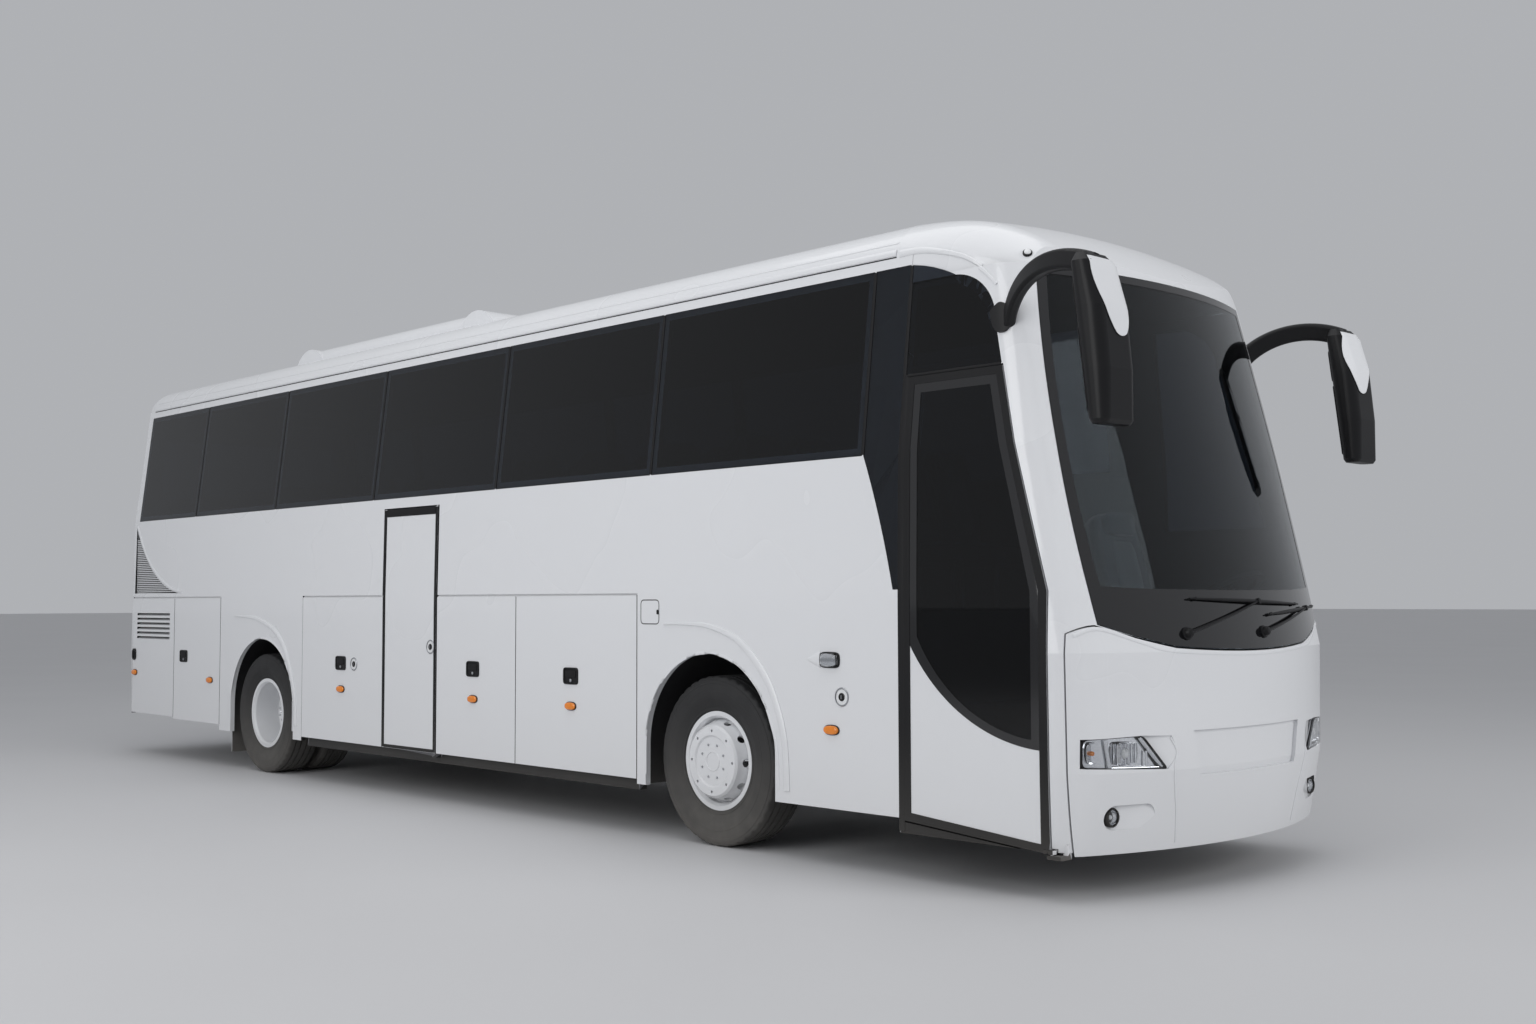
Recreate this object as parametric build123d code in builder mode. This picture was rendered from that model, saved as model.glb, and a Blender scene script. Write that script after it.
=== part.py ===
# A twelve metre touring coach with two axles, in millimetres.
# +X points forward, +Y to the left, +Z up. The origin lies on the ground, on the centre line, midway
# between the axles.
import os
from math import atan2, cos, pi, radians, sin, sqrt, tan

from build123d import *

os.makedirs("parts", exist_ok=True)

# Driving dimensions
WHEELBASE = 6000
HALF_WIDTH = 1275
SEAM_Z = 1550
BELT_Z = 2315
BELT_HALF_WIDTH = 1262
GLASS_TOP_Z = 3375
GLASS_TOP_HALF_WIDTH = 1140
EAVE_Z = 3440
SHOULDER_RADIUS = 240
CROWN_SLOPE = 6
WALL = 45
PANE = 8
PANEL = 40
PANEL_GAP = 8
FRAME_WIDTH = 45
SIDE_REAR_X = -5825
SIDE_FRONT_X = 4560
GLASS_REAR_X = -5730
ROOF_FRONT_X = 4450
CAP_BASE_Z = 3290
ROOF_LAP = 150
SKIRT_Z = 330
FLAP_Z = 362
DECK_Z = 1440
DECK_THICKNESS = 40
CAB_FLOOR_Z = 890
HOLD_FLOOR_Z = 360
PLATE = 25

# Running gear
TYRE_RADIUS = 522
TYRE_WIDTH = 298
TREAD_WIDTH = 246
RIM_SEAT = 288
RIM_LIP = 304
TYRE_CENTRE = 1086
TWIN_SPACING = 340
KINGPIN_OFFSET = 150
STEERING_ARM = 180
ARCH_RADIUS = 600
ARCH_CENTRE_Z = 585
RAIL_INNER = 370
RAIL_OUTER = 445
RAIL_BOTTOM_Z = 640
RAIL_TOP_Z = 800
RUN_GAP = 6
PIN_GAP = 0.4
SPINDLE_RADIUS = 40
SPINDLE_LENGTH = 90
HUB_INNER = 110

# Hinges: a bead along the seam carries the flaps, pins carry the doors and the engine lid
BEAD_RADIUS = 5
BEAD_INSET = 8
BEAD_DROP = 13.5
PIVOT_RADIUS = 8
PIVOT_INSET = 18
PIVOT_SETBACK = 12
PIVOT_DEPTH = 20
TOP_PIVOT_RADIUS = 5
DOOR_SWING_GAP = 15
FRONT_PIVOT_INSET = 13
FRONT_PIVOT_LEAD = 14
FRONT_LUG = 16

FRONT_AXLE_X = WHEELBASE / 2
REAR_AXLE_X = -WHEELBASE / 2
AXLE_Z = TYRE_RADIUS
KINGPIN_Y = TYRE_CENTRE - KINGPIN_OFFSET
RIGHT = -1
LEFT = 1
FAR = 7000

# Panel seams along the side, between the axles and behind them
ENGINE_SEAM_X = -4827
REAR_ARCH_SEAM_X = -3817
HOLD_REAR_SEAM_X = -2235
MID_DOOR_REAR_X = -909
MID_DOOR_FRONT_X = -115
HOLD_SPLIT_X = 925
HOLD_FRONT_SEAM_X = 2290
MID_DOOR_TOP_Z = 2230
MID_LEAF_FRONT_X = MID_DOOR_FRONT_X + 4 - DOOR_SWING_GAP
MID_PIVOT_X = MID_LEAF_FRONT_X - PIVOT_SETBACK
PIVOT_Y = HALF_WIDTH - PIVOT_INSET

# Front door
DOOR_REAR_X = 4595
DOOR_FRONT_X = 5542
DOOR_TOP_Z = 2732
DOOR_REAR_FOOT_Z = 318
DOOR_FRONT_FOOT_Z = 243
PILLAR_SLOPE = 0.256
DOOR_PIVOT_X = DOOR_FRONT_X + FRONT_PIVOT_LEAD
DOOR_PIVOT_Y = HALF_WIDTH - FRONT_PIVOT_INSET

# Window joints along both sides, rear to front
PANE_JOINTS = (-4420, -2797, -1104, 633, 2405)
PANE_JOINT = 10
REAR_PANE_X = GLASS_REAR_X
FRONT_PANE_X = 4280

# Plan outlines of the front: height, nose x, corner radius, nose radius
FRONT_SECTIONS = (
    (230, 5885, 240, 3000),
    (640, 5965, 320, 3000),
    (1240, 5975, 300, 3000),
    (1550, 5900, 260, 3100),
    (2315, 5712, 180, 3200),
    (3375, 5449, 180, 3200),
    (3760, 5353, 180, 3200),
)

# Plan outlines of the tail: height, distance of the tail behind the origin, corner radius, tail radius
TAIL_SECTIONS = (
    (380, 6035, 110, 6000),
    (1100, 6060, 110, 6000),
    (2315, 6060, 110, 6000),
    (3375, 5985, 110, 6000),
    (3760, 5958, 110, 6000),
)

# Cross sections of the front dome: x, drop of the crown, narrowing of each side
DOME_SECTIONS = (
    (ROOF_FRONT_X, 0, 0),
    (4750, 25, 6),
    (5050, 100, 30),
    (5300, 235, 75),
    (5500, 420, 140),
)

# Cross sections of the roof's tail: x, drop of the crown, narrowing of each side
ROOF_TAIL_SECTIONS = (
    (-5700, 0, 0),
    (-5850, 20, 4),
    (-5990, 85, 20),
)


def side_y(z):
    """Half width of the body at a height: upright to the seam, then leaning in."""
    if z <= SEAM_Z:
        return HALF_WIDTH
    if z <= BELT_Z:
        return HALF_WIDTH - (z - SEAM_Z) * (HALF_WIDTH - BELT_HALF_WIDTH) / (BELT_Z - SEAM_Z)
    return BELT_HALF_WIDTH - (z - BELT_Z) * GLASS_LEAN


GLASS_LEAN = (BELT_HALF_WIDTH - GLASS_TOP_HALF_WIDTH) / (GLASS_TOP_Z - BELT_Z)


def finish(piece, name):
    """Name a finished piece and write it."""
    piece.part.label = name
    export_step(piece.part, f"parts/{name}.step")


def outline(plane, path):
    """Closed face. A step is an end point, or a pair: a point on an arc and the arc's end."""
    with BuildSketch(plane) as face:
        with BuildLine():
            here = path[0]
            for step in list(path[1:]) + [path[0]]:
                if isinstance(step[0], tuple):
                    ThreePointArc(here, step[0], step[1])
                    here = step[1]
                elif step != here:
                    Line(here, step)
                    here = step
        make_face()
    return face.sketch


def across(path, y0, y1, mode=Mode.ADD):
    """Prism of an outline in x and z, between two values of y."""
    extrude(outline(Plane.XZ.offset(-max(y0, y1)), path), amount=abs(y1 - y0), mode=mode)


def along(path, x0, x1, mode=Mode.ADD):
    """Prism of an outline in y and z, between two values of x."""
    extrude(outline(Plane.YZ.offset(min(x0, x1)), path), amount=abs(x1 - x0), mode=mode)


def block(x, y, z, mode=Mode.ADD):
    """Box between pairs of x, y and z."""
    with Locations(((x[0] + x[1]) / 2, (y[0] + y[1]) / 2, (z[0] + z[1]) / 2)):
        Box(abs(x[1] - x[0]), abs(y[1] - y[0]), abs(z[1] - z[0]), mode=mode)


def rod(start, end, radius, mode=Mode.ADD):
    """Round bar between two points."""
    path = Vector(*end) - Vector(*start)
    with BuildSketch(Plane(origin=start, z_dir=path)) as face:
        Circle(radius)
    extrude(face.sketch, amount=path.length, mode=mode)


def rectangle(x, z):
    """Corners of an upright rectangle."""
    return [(x[0], z[0]), (x[1], z[0]), (x[1], z[1]), (x[0], z[1])]


def plan_face(z, nose, half_width, corner, radius, inset, back, sign):
    """Plan outline: straight sides, round corners and a gently bowed end."""
    nose, half_width, corner, radius = nose - inset, half_width - inset, corner - inset, radius - inset
    centre = nose - radius
    corner_y = half_width - corner
    corner_x = centre + sqrt((radius - corner) ** 2 - corner_y**2)
    reach = radius / (radius - corner)
    tangent = (centre + (corner_x - centre) * reach, corner_y * reach)
    middle = (radians(90) + atan2(corner_y, corner_x - centre)) / 2
    bend = (corner_x + corner * cos(middle), corner_y + corner * sin(middle))
    path = [
        (sign * back, half_width),
        (sign * corner_x, half_width),
        ((sign * bend[0], bend[1]), (sign * tangent[0], tangent[1])),
        ((sign * nose, 0), (sign * tangent[0], -tangent[1])),
        ((sign * bend[0], -bend[1]), (sign * corner_x, -half_width)),
        (sign * back, -half_width),
    ]
    return outline(Plane.XY.offset(z), path)


def end_volume(sections, inset, sign):
    """Solid inside the skin of the front or the tail, set in from it by a distance."""
    faces = [
        plan_face(z, nose, side_y(z), corner, radius, inset, 4000, sign)
        for z, nose, corner, radius in sections
    ]
    with BuildPart() as volume:
        loft(faces, ruled=True)
    return volume.part


def roof_face(x, drop, narrow, inset, base):
    """Cross section of the roof from its foot over the crown, set in from the skin."""
    lean = atan2(GLASS_LEAN, 1)
    middle_y = side_y(EAVE_Z) - narrow - SHOULDER_RADIUS * cos(lean)
    middle_z = EAVE_Z - drop - SHOULDER_RADIUS * sin(lean)
    radius = SHOULDER_RADIUS - inset
    end = radians(90 - CROWN_SLOPE)
    bend = (lean + end) / 2
    eave = (middle_y + radius * cos(lean), middle_z + radius * sin(lean))
    foot = (eave[0] + (eave[1] - base) * tan(lean), base)
    shoulder = (middle_y + radius * cos(bend), middle_z + radius * sin(bend))
    edge = (middle_y + radius * cos(end), middle_z + radius * sin(end))
    crown = edge[1] + edge[0] / sin(radians(CROWN_SLOPE)) * (1 - cos(radians(CROWN_SLOPE)))
    path = [foot]
    if eave[1] > base:
        path.append(eave)
    path += [
        (shoulder, edge),
        ((0, crown), (-edge[0], edge[1])),
        ((-shoulder[0], shoulder[1]), (-eave[0], eave[1])),
    ]
    if eave[1] > base:
        path.append((-foot[0], base))
    return outline(Plane.YZ.offset(x), path)


front_outer = end_volume(FRONT_SECTIONS, 0, 1)
front_pane = end_volume(FRONT_SECTIONS, PANE, 1)
front_panel = end_volume(FRONT_SECTIONS, PANEL, 1)
front_inner = end_volume(FRONT_SECTIONS, WALL, 1)
tail_outer = end_volume(TAIL_SECTIONS, 0, -1)
tail_pane = end_volume(TAIL_SECTIONS, PANE, -1)
tail_panel = end_volume(TAIL_SECTIONS, PANEL, -1)
tail_inner = end_volume(TAIL_SECTIONS, WALL, -1)

# Outlines seen from the side and from the front


def pillar_x(z, base_x):
    """Front edge of the side openings: upright to the seam, then raked with the windscreen."""
    return base_x - max(0, z - SEAM_Z) * PILLAR_SLOPE


def door_outline(grow):
    """Front door's leaf, or its opening when grown."""
    top = DOOR_TOP_Z + grow
    rear = DOOR_REAR_X - grow
    front = DOOR_FRONT_X + grow
    return [
        (rear, DOOR_REAR_FOOT_Z - grow),
        (front, DOOR_FRONT_FOOT_Z - grow),
        (front, SEAM_Z),
        (pillar_x(top, front), top),
        (rear, top),
    ]


def door_glass_outline(shrink):
    """Door glass with its swept lower edge."""
    top = DOOR_TOP_Z - FRAME_WIDTH - shrink
    rear = DOOR_REAR_X + FRAME_WIDTH + shrink
    front = DOOR_FRONT_X - FRAME_WIDTH - shrink
    return [
        (rear, 1262 + shrink),
        ((4970 + shrink * 0.7, 924 + shrink * 0.7), (front, 752 + shrink)),
        (front, SEAM_Z),
        (pillar_x(top, front), top),
        (rear, top),
    ]


def mask_outline(grow):
    """Front mask seen from the front: low in the middle, with raised rounded ends."""
    edge = 1300
    return [
        (-edge, 200),
        (edge, 200),
        (edge, 1240),
        ((1235, 1330 + grow), (1120, 1372 + grow)),
        ((850, 1300 + grow), (650, 1258 + grow)),
        ((0, 1233 + grow), (-650, 1258 + grow)),
        ((-850, 1300 + grow), (-1120, 1372 + grow)),
        ((-1235, 1330 + grow), (-edge, 1240)),
    ]


def windscreen_outline(shrink):
    """Windscreen seen from the front."""
    foot = 1380 + shrink
    return [
        (-1105 + shrink, foot),
        ((-850 + shrink / 2, 1308 + shrink), (-650, 1266 + shrink)),
        ((0, 1241 + shrink), (650, 1266 + shrink)),
        ((850 - shrink / 2, 1308 + shrink), (1105 - shrink, foot)),
        ((1130 - shrink, 2000), (1010 - shrink, CAP_BASE_Z - 10 - shrink)),
        (-1010 + shrink, CAP_BASE_Z - 10 - shrink),
        ((-1130 + shrink, 2000), (-1105 + shrink, foot)),
    ]


def header_outline(shrink):
    """Dark panel over the front door."""
    foot = DOOR_TOP_Z + PANEL_GAP + 6 + shrink
    top = CAP_BASE_Z - 20 - shrink
    rear = SIDE_FRONT_X + 6 + shrink
    return [
        (rear, foot),
        (pillar_x(foot, DOOR_FRONT_X) - shrink, foot),
        (pillar_x(2960, DOOR_FRONT_X) - shrink, 2960),
        ((5060 - shrink, 3200 - shrink), (4850, top)),
        (rear, top),
    ]


def cab_window_outline(shrink):
    """Driver's side window."""
    foot = 1900 + shrink
    top = CAP_BASE_Z - 20 - shrink
    rear = SIDE_FRONT_X + 40 + shrink
    front = DOOR_FRONT_X - 40 - shrink
    return [
        (rear, foot),
        (pillar_x(foot, front), foot),
        (pillar_x(2960, front), 2960),
        ((5040 - shrink, 3200 - shrink), (4850, top)),
        (rear, top),
    ]


HEADLAMP = [(872, 823), (1195, 812), (1195, 668), (712, 648)]
LAMP_SHELF = [(872, 823), (690, 816), (640, 722), (712, 648)]
FOG_LAMP = (1000, 416)
FOG_LAMP_RADIUS = 50
FOG_POCKET_LENGTH = 180
FOG_POCKET_RIM = 12
POCKET_DEPTH = 28
LAMP_BACK_X = 5645
PLATE_RECESS = [(-535, 835), (535, 835), (480, 605), (-480, 605)]
PLATE_RECESS_DEPTH = 22
TAIL_LAMP = [(1030, 900), (1190, 900), (1175, 1480), (1060, 1480)]


def mirrored(path):
    """The same outline on the other side of the centre line."""
    return [(-y, z) for y, z in path]


def front_x(y, z):
    """Skin of the bowed front at a place between its corners."""
    pairs = [(a, b) for a, b in zip(FRONT_SECTIONS, FRONT_SECTIONS[1:]) if a[0] <= z <= b[0]]
    low, high = pairs[0]
    share = (z - low[0]) / (high[0] - low[0])
    nose = low[1] + (high[1] - low[1]) * share
    radius = low[3] + (high[3] - low[3]) * share
    return nose - radius + sqrt(radius**2 - y**2)


def cut_to_slope(deep_y, flush_y, z, side):
    """Keep what lies ahead of a slope that is deep in the skin at one y and flush with it at the other."""
    plan = [
        (front_x(deep_y, z) - POCKET_DEPTH, side * deep_y),
        (front_x(flush_y, z), side * flush_y),
        (FAR, side * flush_y),
        (FAR, side * deep_y),
    ]
    extrude(outline(Plane.XY, plan), amount=FAR, mode=Mode.INTERSECT)


def lamp_shelf(side):
    """Shelf between a headlamp and the middle of the mask."""
    with BuildPart() as recess:
        along([(side * y, z) for y, z in LAMP_SHELF], LAMP_BACK_X, FAR)
        cut_to_slope(LAMP_SHELF[0][0], LAMP_SHELF[2][0], LAMP_SHELF[2][1], side)
    return recess.part


def fog_pocket(side):
    """Long pocket that runs inboard from a fog lamp."""
    y, z = FOG_LAMP
    half = FOG_LAMP_RADIUS + FOG_POCKET_RIM
    inner = y - FOG_POCKET_LENGTH
    with BuildPart() as recess:
        block((LAMP_BACK_X, FAR), (side * inner, side * y), (z - half, z + half))
        for end in (inner, y):
            rod((LAMP_BACK_X, side * end, z), (FAR, side * end, z), half)
        cut_to_slope(y + half, inner - half, z, side)
    return recess.part


# Front mask with its lamp openings, lamp pockets and the plate recess
front_recess = end_volume(FRONT_SECTIONS, PLATE_RECESS_DEPTH, 1)
with BuildPart() as plate_recess:
    along(PLATE_RECESS, LAMP_BACK_X, FAR)
    add(front_recess, mode=Mode.SUBTRACT)
fog_face_x = front_x(*FOG_LAMP) - POCKET_DEPTH / 2
with BuildPart() as front_mask:
    add(front_outer)
    add(front_inner, mode=Mode.SUBTRACT)
    along(mask_outline(0), 5634, FAR, mode=Mode.INTERSECT)
    for path in (HEADLAMP, mirrored(HEADLAMP)):
        along(path, LAMP_BACK_X, FAR, mode=Mode.SUBTRACT)
    for side in (RIGHT, LEFT):
        y = side * FOG_LAMP[0]
        add(lamp_shelf(side), mode=Mode.SUBTRACT)
        add(fog_pocket(side), mode=Mode.SUBTRACT)
        rod((5000, y, FOG_LAMP[1]), (FAR, y, FOG_LAMP[1]), FOG_LAMP_RADIUS, mode=Mode.SUBTRACT)
    add(plate_recess.part, mode=Mode.SUBTRACT)
finish(front_mask, "front_mask")

# Lamps that fill the openings in the mask; the fog lamps stand in their pockets
with BuildPart() as front_lamps:
    add(front_outer)
    add(front_inner, mode=Mode.SUBTRACT)
    with BuildPart(mode=Mode.INTERSECT):
        for path in (HEADLAMP, mirrored(HEADLAMP)):
            along(path, LAMP_BACK_X, FAR)
        for y in (FOG_LAMP[0], -FOG_LAMP[0]):
            rod((5400, y, FOG_LAMP[1]), (fog_face_x, y, FOG_LAMP[1]), FOG_LAMP_RADIUS)
finish(front_lamps, "front_lamps")

# Frame of the front: pillars, the header over the door and the panel beside the driver
with BuildPart() as front_frame:
    add(front_outer)
    add(front_inner, mode=Mode.SUBTRACT)
    block((SIDE_FRONT_X, FAR), (-FAR, FAR), (250, CAP_BASE_Z), mode=Mode.INTERSECT)
    along(mask_outline(PANEL_GAP), 5634 - PANEL_GAP, FAR, mode=Mode.SUBTRACT)
    along(windscreen_outline(FRAME_WIDTH), 4800, FAR, mode=Mode.SUBTRACT)
    across(door_outline(PANEL_GAP), -FAR, -800, mode=Mode.SUBTRACT)
    across(header_outline(FRAME_WIDTH), -FAR, -800, mode=Mode.SUBTRACT)
    across(cab_window_outline(FRAME_WIDTH), 800, FAR, mode=Mode.SUBTRACT)

with BuildPart() as pane_skin:
    add(front_outer)
    add(front_pane, mode=Mode.SUBTRACT)

with BuildPart() as windscreen:
    along(windscreen_outline(0), 5000, FAR)
    add(pane_skin.part, mode=Mode.INTERSECT)
finish(windscreen, "windscreen")

with BuildPart() as cab_glass:
    across(header_outline(0), -FAR, -800)
    across(cab_window_outline(0), 800, FAR)
    add(pane_skin.part, mode=Mode.INTERSECT)
finish(cab_glass, "cab_glass")

with front_frame:
    add(windscreen.part, mode=Mode.SUBTRACT)
    add(cab_glass.part, mode=Mode.SUBTRACT)
    bracket_z = DOOR_FRONT_FOOT_Z - RUN_GAP
    rod(
        (DOOR_PIVOT_X, -DOOR_PIVOT_Y, bracket_z),
        (DOOR_PIVOT_X, -DOOR_PIVOT_Y, DOOR_FRONT_FOOT_Z + PIVOT_DEPTH + RUN_GAP),
        FRONT_LUG * 2,
        mode=Mode.SUBTRACT,
    )
    block((DOOR_PIVOT_X - 20, 5620), (-DOOR_PIVOT_Y - 16, -DOOR_PIVOT_Y + 75), (bracket_z - 20, bracket_z))
    block((5592, 5620), (-DOOR_PIVOT_Y + 45, -DOOR_PIVOT_Y + 75), (bracket_z - 20, 290))
    rod(
        (DOOR_PIVOT_X, -DOOR_PIVOT_Y, bracket_z - 20),
        (DOOR_PIVOT_X, -DOOR_PIVOT_Y, DOOR_FRONT_FOOT_Z + PIVOT_DEPTH - PIN_GAP),
        PIVOT_RADIUS,
    )
finish(front_frame, "front_frame")

# Dome that joins the roof to the windscreen
with BuildPart() as dome_inner:
    loft([roof_face(x, drop, narrow, WALL, 2900) for x, drop, narrow in DOME_SECTIONS])
    add(front_inner, mode=Mode.INTERSECT)
with BuildPart() as front_cap:
    loft([roof_face(x, drop, narrow, 0, 2900) for x, drop, narrow in DOME_SECTIONS])
    add(front_outer, mode=Mode.INTERSECT)
    add(dome_inner.part, mode=Mode.SUBTRACT)
    block((4000, FAR), (-FAR, FAR), (CAP_BASE_Z, FAR), mode=Mode.INTERSECT)
    block((4000, SIDE_FRONT_X), (-FAR, FAR), (0, EAVE_Z), mode=Mode.SUBTRACT)
finish(front_cap, "front_cap")

# Roof skin with its rounded tail
with BuildPart() as roof_hollow:
    extrude(roof_face(-5700, 0, 0, WALL, EAVE_Z - ROOF_LAP), amount=ROOF_FRONT_X + 5700)
    loft([roof_face(x, drop, narrow, WALL, EAVE_Z - ROOF_LAP) for x, drop, narrow in ROOF_TAIL_SECTIONS])
    add(tail_inner, mode=Mode.INTERSECT)
with BuildPart() as roof_front_hollow:
    extrude(roof_face(-4200, 0, 0, WALL, EAVE_Z - ROOF_LAP), amount=ROOF_FRONT_X + 4200)
with BuildPart() as roof_tail:
    loft([roof_face(x, drop, narrow, 0, EAVE_Z - ROOF_LAP) for x, drop, narrow in ROOF_TAIL_SECTIONS])
    add(tail_outer, mode=Mode.INTERSECT)
    block((-FAR, FAR), (-FAR, FAR), (EAVE_Z, FAR), mode=Mode.INTERSECT)
with BuildPart() as roof:
    extrude(roof_face(-5700, 0, 0, 0, EAVE_Z), amount=ROOF_FRONT_X + 5700)
    add(roof_tail.part)
    add(roof_hollow.part, mode=Mode.SUBTRACT)
    add(roof_front_hollow.part, mode=Mode.SUBTRACT)
finish(roof, "roof")

# Air conditioning unit on the rear half of the roof
UNIT_REAR_X = -3300
UNIT_FRONT_X = 0
UNIT_HALF_WIDTH = 830
UNIT_TOP_Z = 3800
with BuildPart() as roof_unit:
    across(
        [
            (UNIT_REAR_X, 3600),
            (UNIT_FRONT_X, 3600),
            ((UNIT_FRONT_X - 60, 3700), (UNIT_FRONT_X - 320, UNIT_TOP_Z)),
            (UNIT_REAR_X + 320, UNIT_TOP_Z),
            ((UNIT_REAR_X + 60, 3700), (UNIT_REAR_X, 3600)),
        ],
        -UNIT_HALF_WIDTH,
        UNIT_HALF_WIDTH,
    )
    fillet(roof_unit.edges().filter_by(Axis.X).group_by(Axis.Z)[-1], radius=120)
    extrude(roof_face(-5700, 0, 0, 0, 3000), amount=ROOF_FRONT_X + 5700, mode=Mode.SUBTRACT)
finish(roof_unit, "roof_unit")


# Side walls above the seam, with the window band and openings, and the hinge bead along the foot
BEAD_Y = HALF_WIDTH - BEAD_INSET
BEAD_Z = SEAM_Z + 4 - BEAD_DROP
def wall_profile(thickness, foot, top):
    """Section of a side skin between two heights, on the right."""
    heights = [foot] + [z for z in (BELT_Z,) if foot < z < top] + [top]
    skin = [(-side_y(z), z) for z in heights]
    return skin + [(-side_y(z) + thickness, z) for z in reversed(heights)]


PANES = []
pane_start = REAR_PANE_X
for joint in PANE_JOINTS + (FRONT_PANE_X,):
    PANES.append((pane_start, joint))
    pane_start = joint + PANE_JOINT


def strip_outline(shrink):
    """Dark strip behind the front door, narrowing below the belt."""
    rear = FRONT_PANE_X + PANE_JOINT + shrink
    front = SIDE_FRONT_X - 6 - shrink
    return [
        (rear, BELT_Z + shrink),
        ((4415 + shrink, 1950), (4515, SEAM_Z + 14 + shrink)),
        (front, SEAM_Z + 14 + shrink),
        (front, GLASS_TOP_Z - shrink),
        (rear, GLASS_TOP_Z - shrink),
    ]


# Grille recess behind the last window, with a hollow front edge
GRILLE_DEPTH = 10
GRILLE = [(-5790, 1590), (-4690, 1590), ((-5340, 1790), (-5790, 2255))]


def build_wall(name, side):
    """One side wall and its bonded panes."""
    with BuildPart() as panes:
        along(wall_profile(PANE, SEAM_Z + 10, GLASS_TOP_Z), SIDE_REAR_X, SIDE_FRONT_X)
        openings = [rectangle(span, (BELT_Z, GLASS_TOP_Z)) for span in PANES]
        openings.append(strip_outline(0))
        windows = Part() + [
            extrude(outline(Plane.XZ, path), amount=FAR, mode=Mode.PRIVATE) for path in openings
        ]
        add(windows, mode=Mode.INTERSECT)
    with BuildPart() as wall:
        along(wall_profile(WALL, SEAM_Z + 4, EAVE_Z), SIDE_REAR_X, SIDE_FRONT_X)
        for span in PANES:
            inner = (span[0] + FRAME_WIDTH, span[1] - FRAME_WIDTH)
            across(
                rectangle(inner, (BELT_Z + FRAME_WIDTH, GLASS_TOP_Z - FRAME_WIDTH)),
                -FAR,
                -800,
                mode=Mode.SUBTRACT,
            )
        add(panes.part, mode=Mode.SUBTRACT)
        across(GRILLE, -FAR, -side_y(BELT_Z) + GRILLE_DEPTH, mode=Mode.SUBTRACT)
        for rear, front in ((SIDE_REAR_X, REAR_ARCH_SEAM_X), (HOLD_REAR_SEAM_X, HOLD_FRONT_SEAM_X)):
            rod((rear + PANEL_GAP, -BEAD_Y, BEAD_Z), (front - PANEL_GAP, -BEAD_Y, BEAD_Z), BEAD_RADIUS)
            block(
                (rear + PANEL_GAP, front - PANEL_GAP),
                (-BEAD_Y + 2, -BEAD_Y + 8),
                (BEAD_Z, SEAM_Z + 4),
            )
        if side == RIGHT:
            block(
                (MID_DOOR_REAR_X - PANEL_GAP, MID_DOOR_FRONT_X + PANEL_GAP),
                (-FAR, -800),
                (0, MID_DOOR_TOP_Z + PANEL_GAP),
                mode=Mode.SUBTRACT,
            )
            rod(
                (MID_PIVOT_X, -PIVOT_Y, MID_DOOR_TOP_Z - PIVOT_DEPTH),
                (MID_PIVOT_X, -PIVOT_Y, MID_DOOR_TOP_Z + PANEL_GAP + 1),
                TOP_PIVOT_RADIUS,
            )
    for piece, label in ((wall, f"side_wall_{name}"), (panes, f"side_glass_{name}")):
        if side == LEFT:
            with BuildPart() as other:
                add(mirror(piece.part, about=Plane.XZ))
            finish(other, label)
        else:
            finish(piece, label)


build_wall("right", RIGHT)
build_wall("left", LEFT)

# Tail wall with the rear window, lamps and the engine lid
LID_HALF_WIDTH = 880
LID_FOOT_Z = 600
LID_TOP_Z = 1480
LID_HINGES = (-420, 420)
LID_PIN_X = -6075
LID_PIN_Z = LID_TOP_Z + 4
LID_EYE_RADIUS = 14
REAR_GLASS = rectangle((-1010, 1010), (2340, 3230))
REAR_GLASS_HOLE = rectangle((-960, 960), (2390, 3180))

with BuildPart() as tail_skin:
    add(tail_outer)
    add(tail_inner, mode=Mode.SUBTRACT)
with BuildPart() as tail_pane_skin:
    add(tail_outer)
    add(tail_pane, mode=Mode.SUBTRACT)
with BuildPart() as rear_glass:
    along(REAR_GLASS, -FAR, -5000)
    add(tail_pane_skin.part, mode=Mode.INTERSECT)
finish(rear_glass, "rear_glass")
with BuildPart() as rear_lamps:
    for path in (TAIL_LAMP, mirrored(TAIL_LAMP)):
        along(path, -FAR, -5000)
    add(tail_skin.part, mode=Mode.INTERSECT)
finish(rear_lamps, "rear_lamps")
with BuildPart() as engine_lid:
    along(rectangle((-LID_HALF_WIDTH, LID_HALF_WIDTH), (LID_FOOT_Z, LID_TOP_Z)), -FAR, -5000)
    add(tail_outer, mode=Mode.INTERSECT)
    add(tail_panel, mode=Mode.SUBTRACT)
    for y in LID_HINGES:
        for offset in (-35, 35):
            rod((LID_PIN_X, y + offset - 15, LID_PIN_Z), (LID_PIN_X, y + offset + 15, LID_PIN_Z), LID_EYE_RADIUS)
            block(
                (LID_PIN_X - LID_EYE_RADIUS, LID_PIN_X + 40),
                (y + offset - 15, y + offset + 15),
                (LID_TOP_Z - 40, LID_PIN_Z),
            )
        rod((LID_PIN_X, y - 51, LID_PIN_Z), (LID_PIN_X, y + 51, LID_PIN_Z), PIVOT_RADIUS + PIN_GAP, mode=Mode.SUBTRACT)
finish(engine_lid, "engine_lid")
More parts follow.
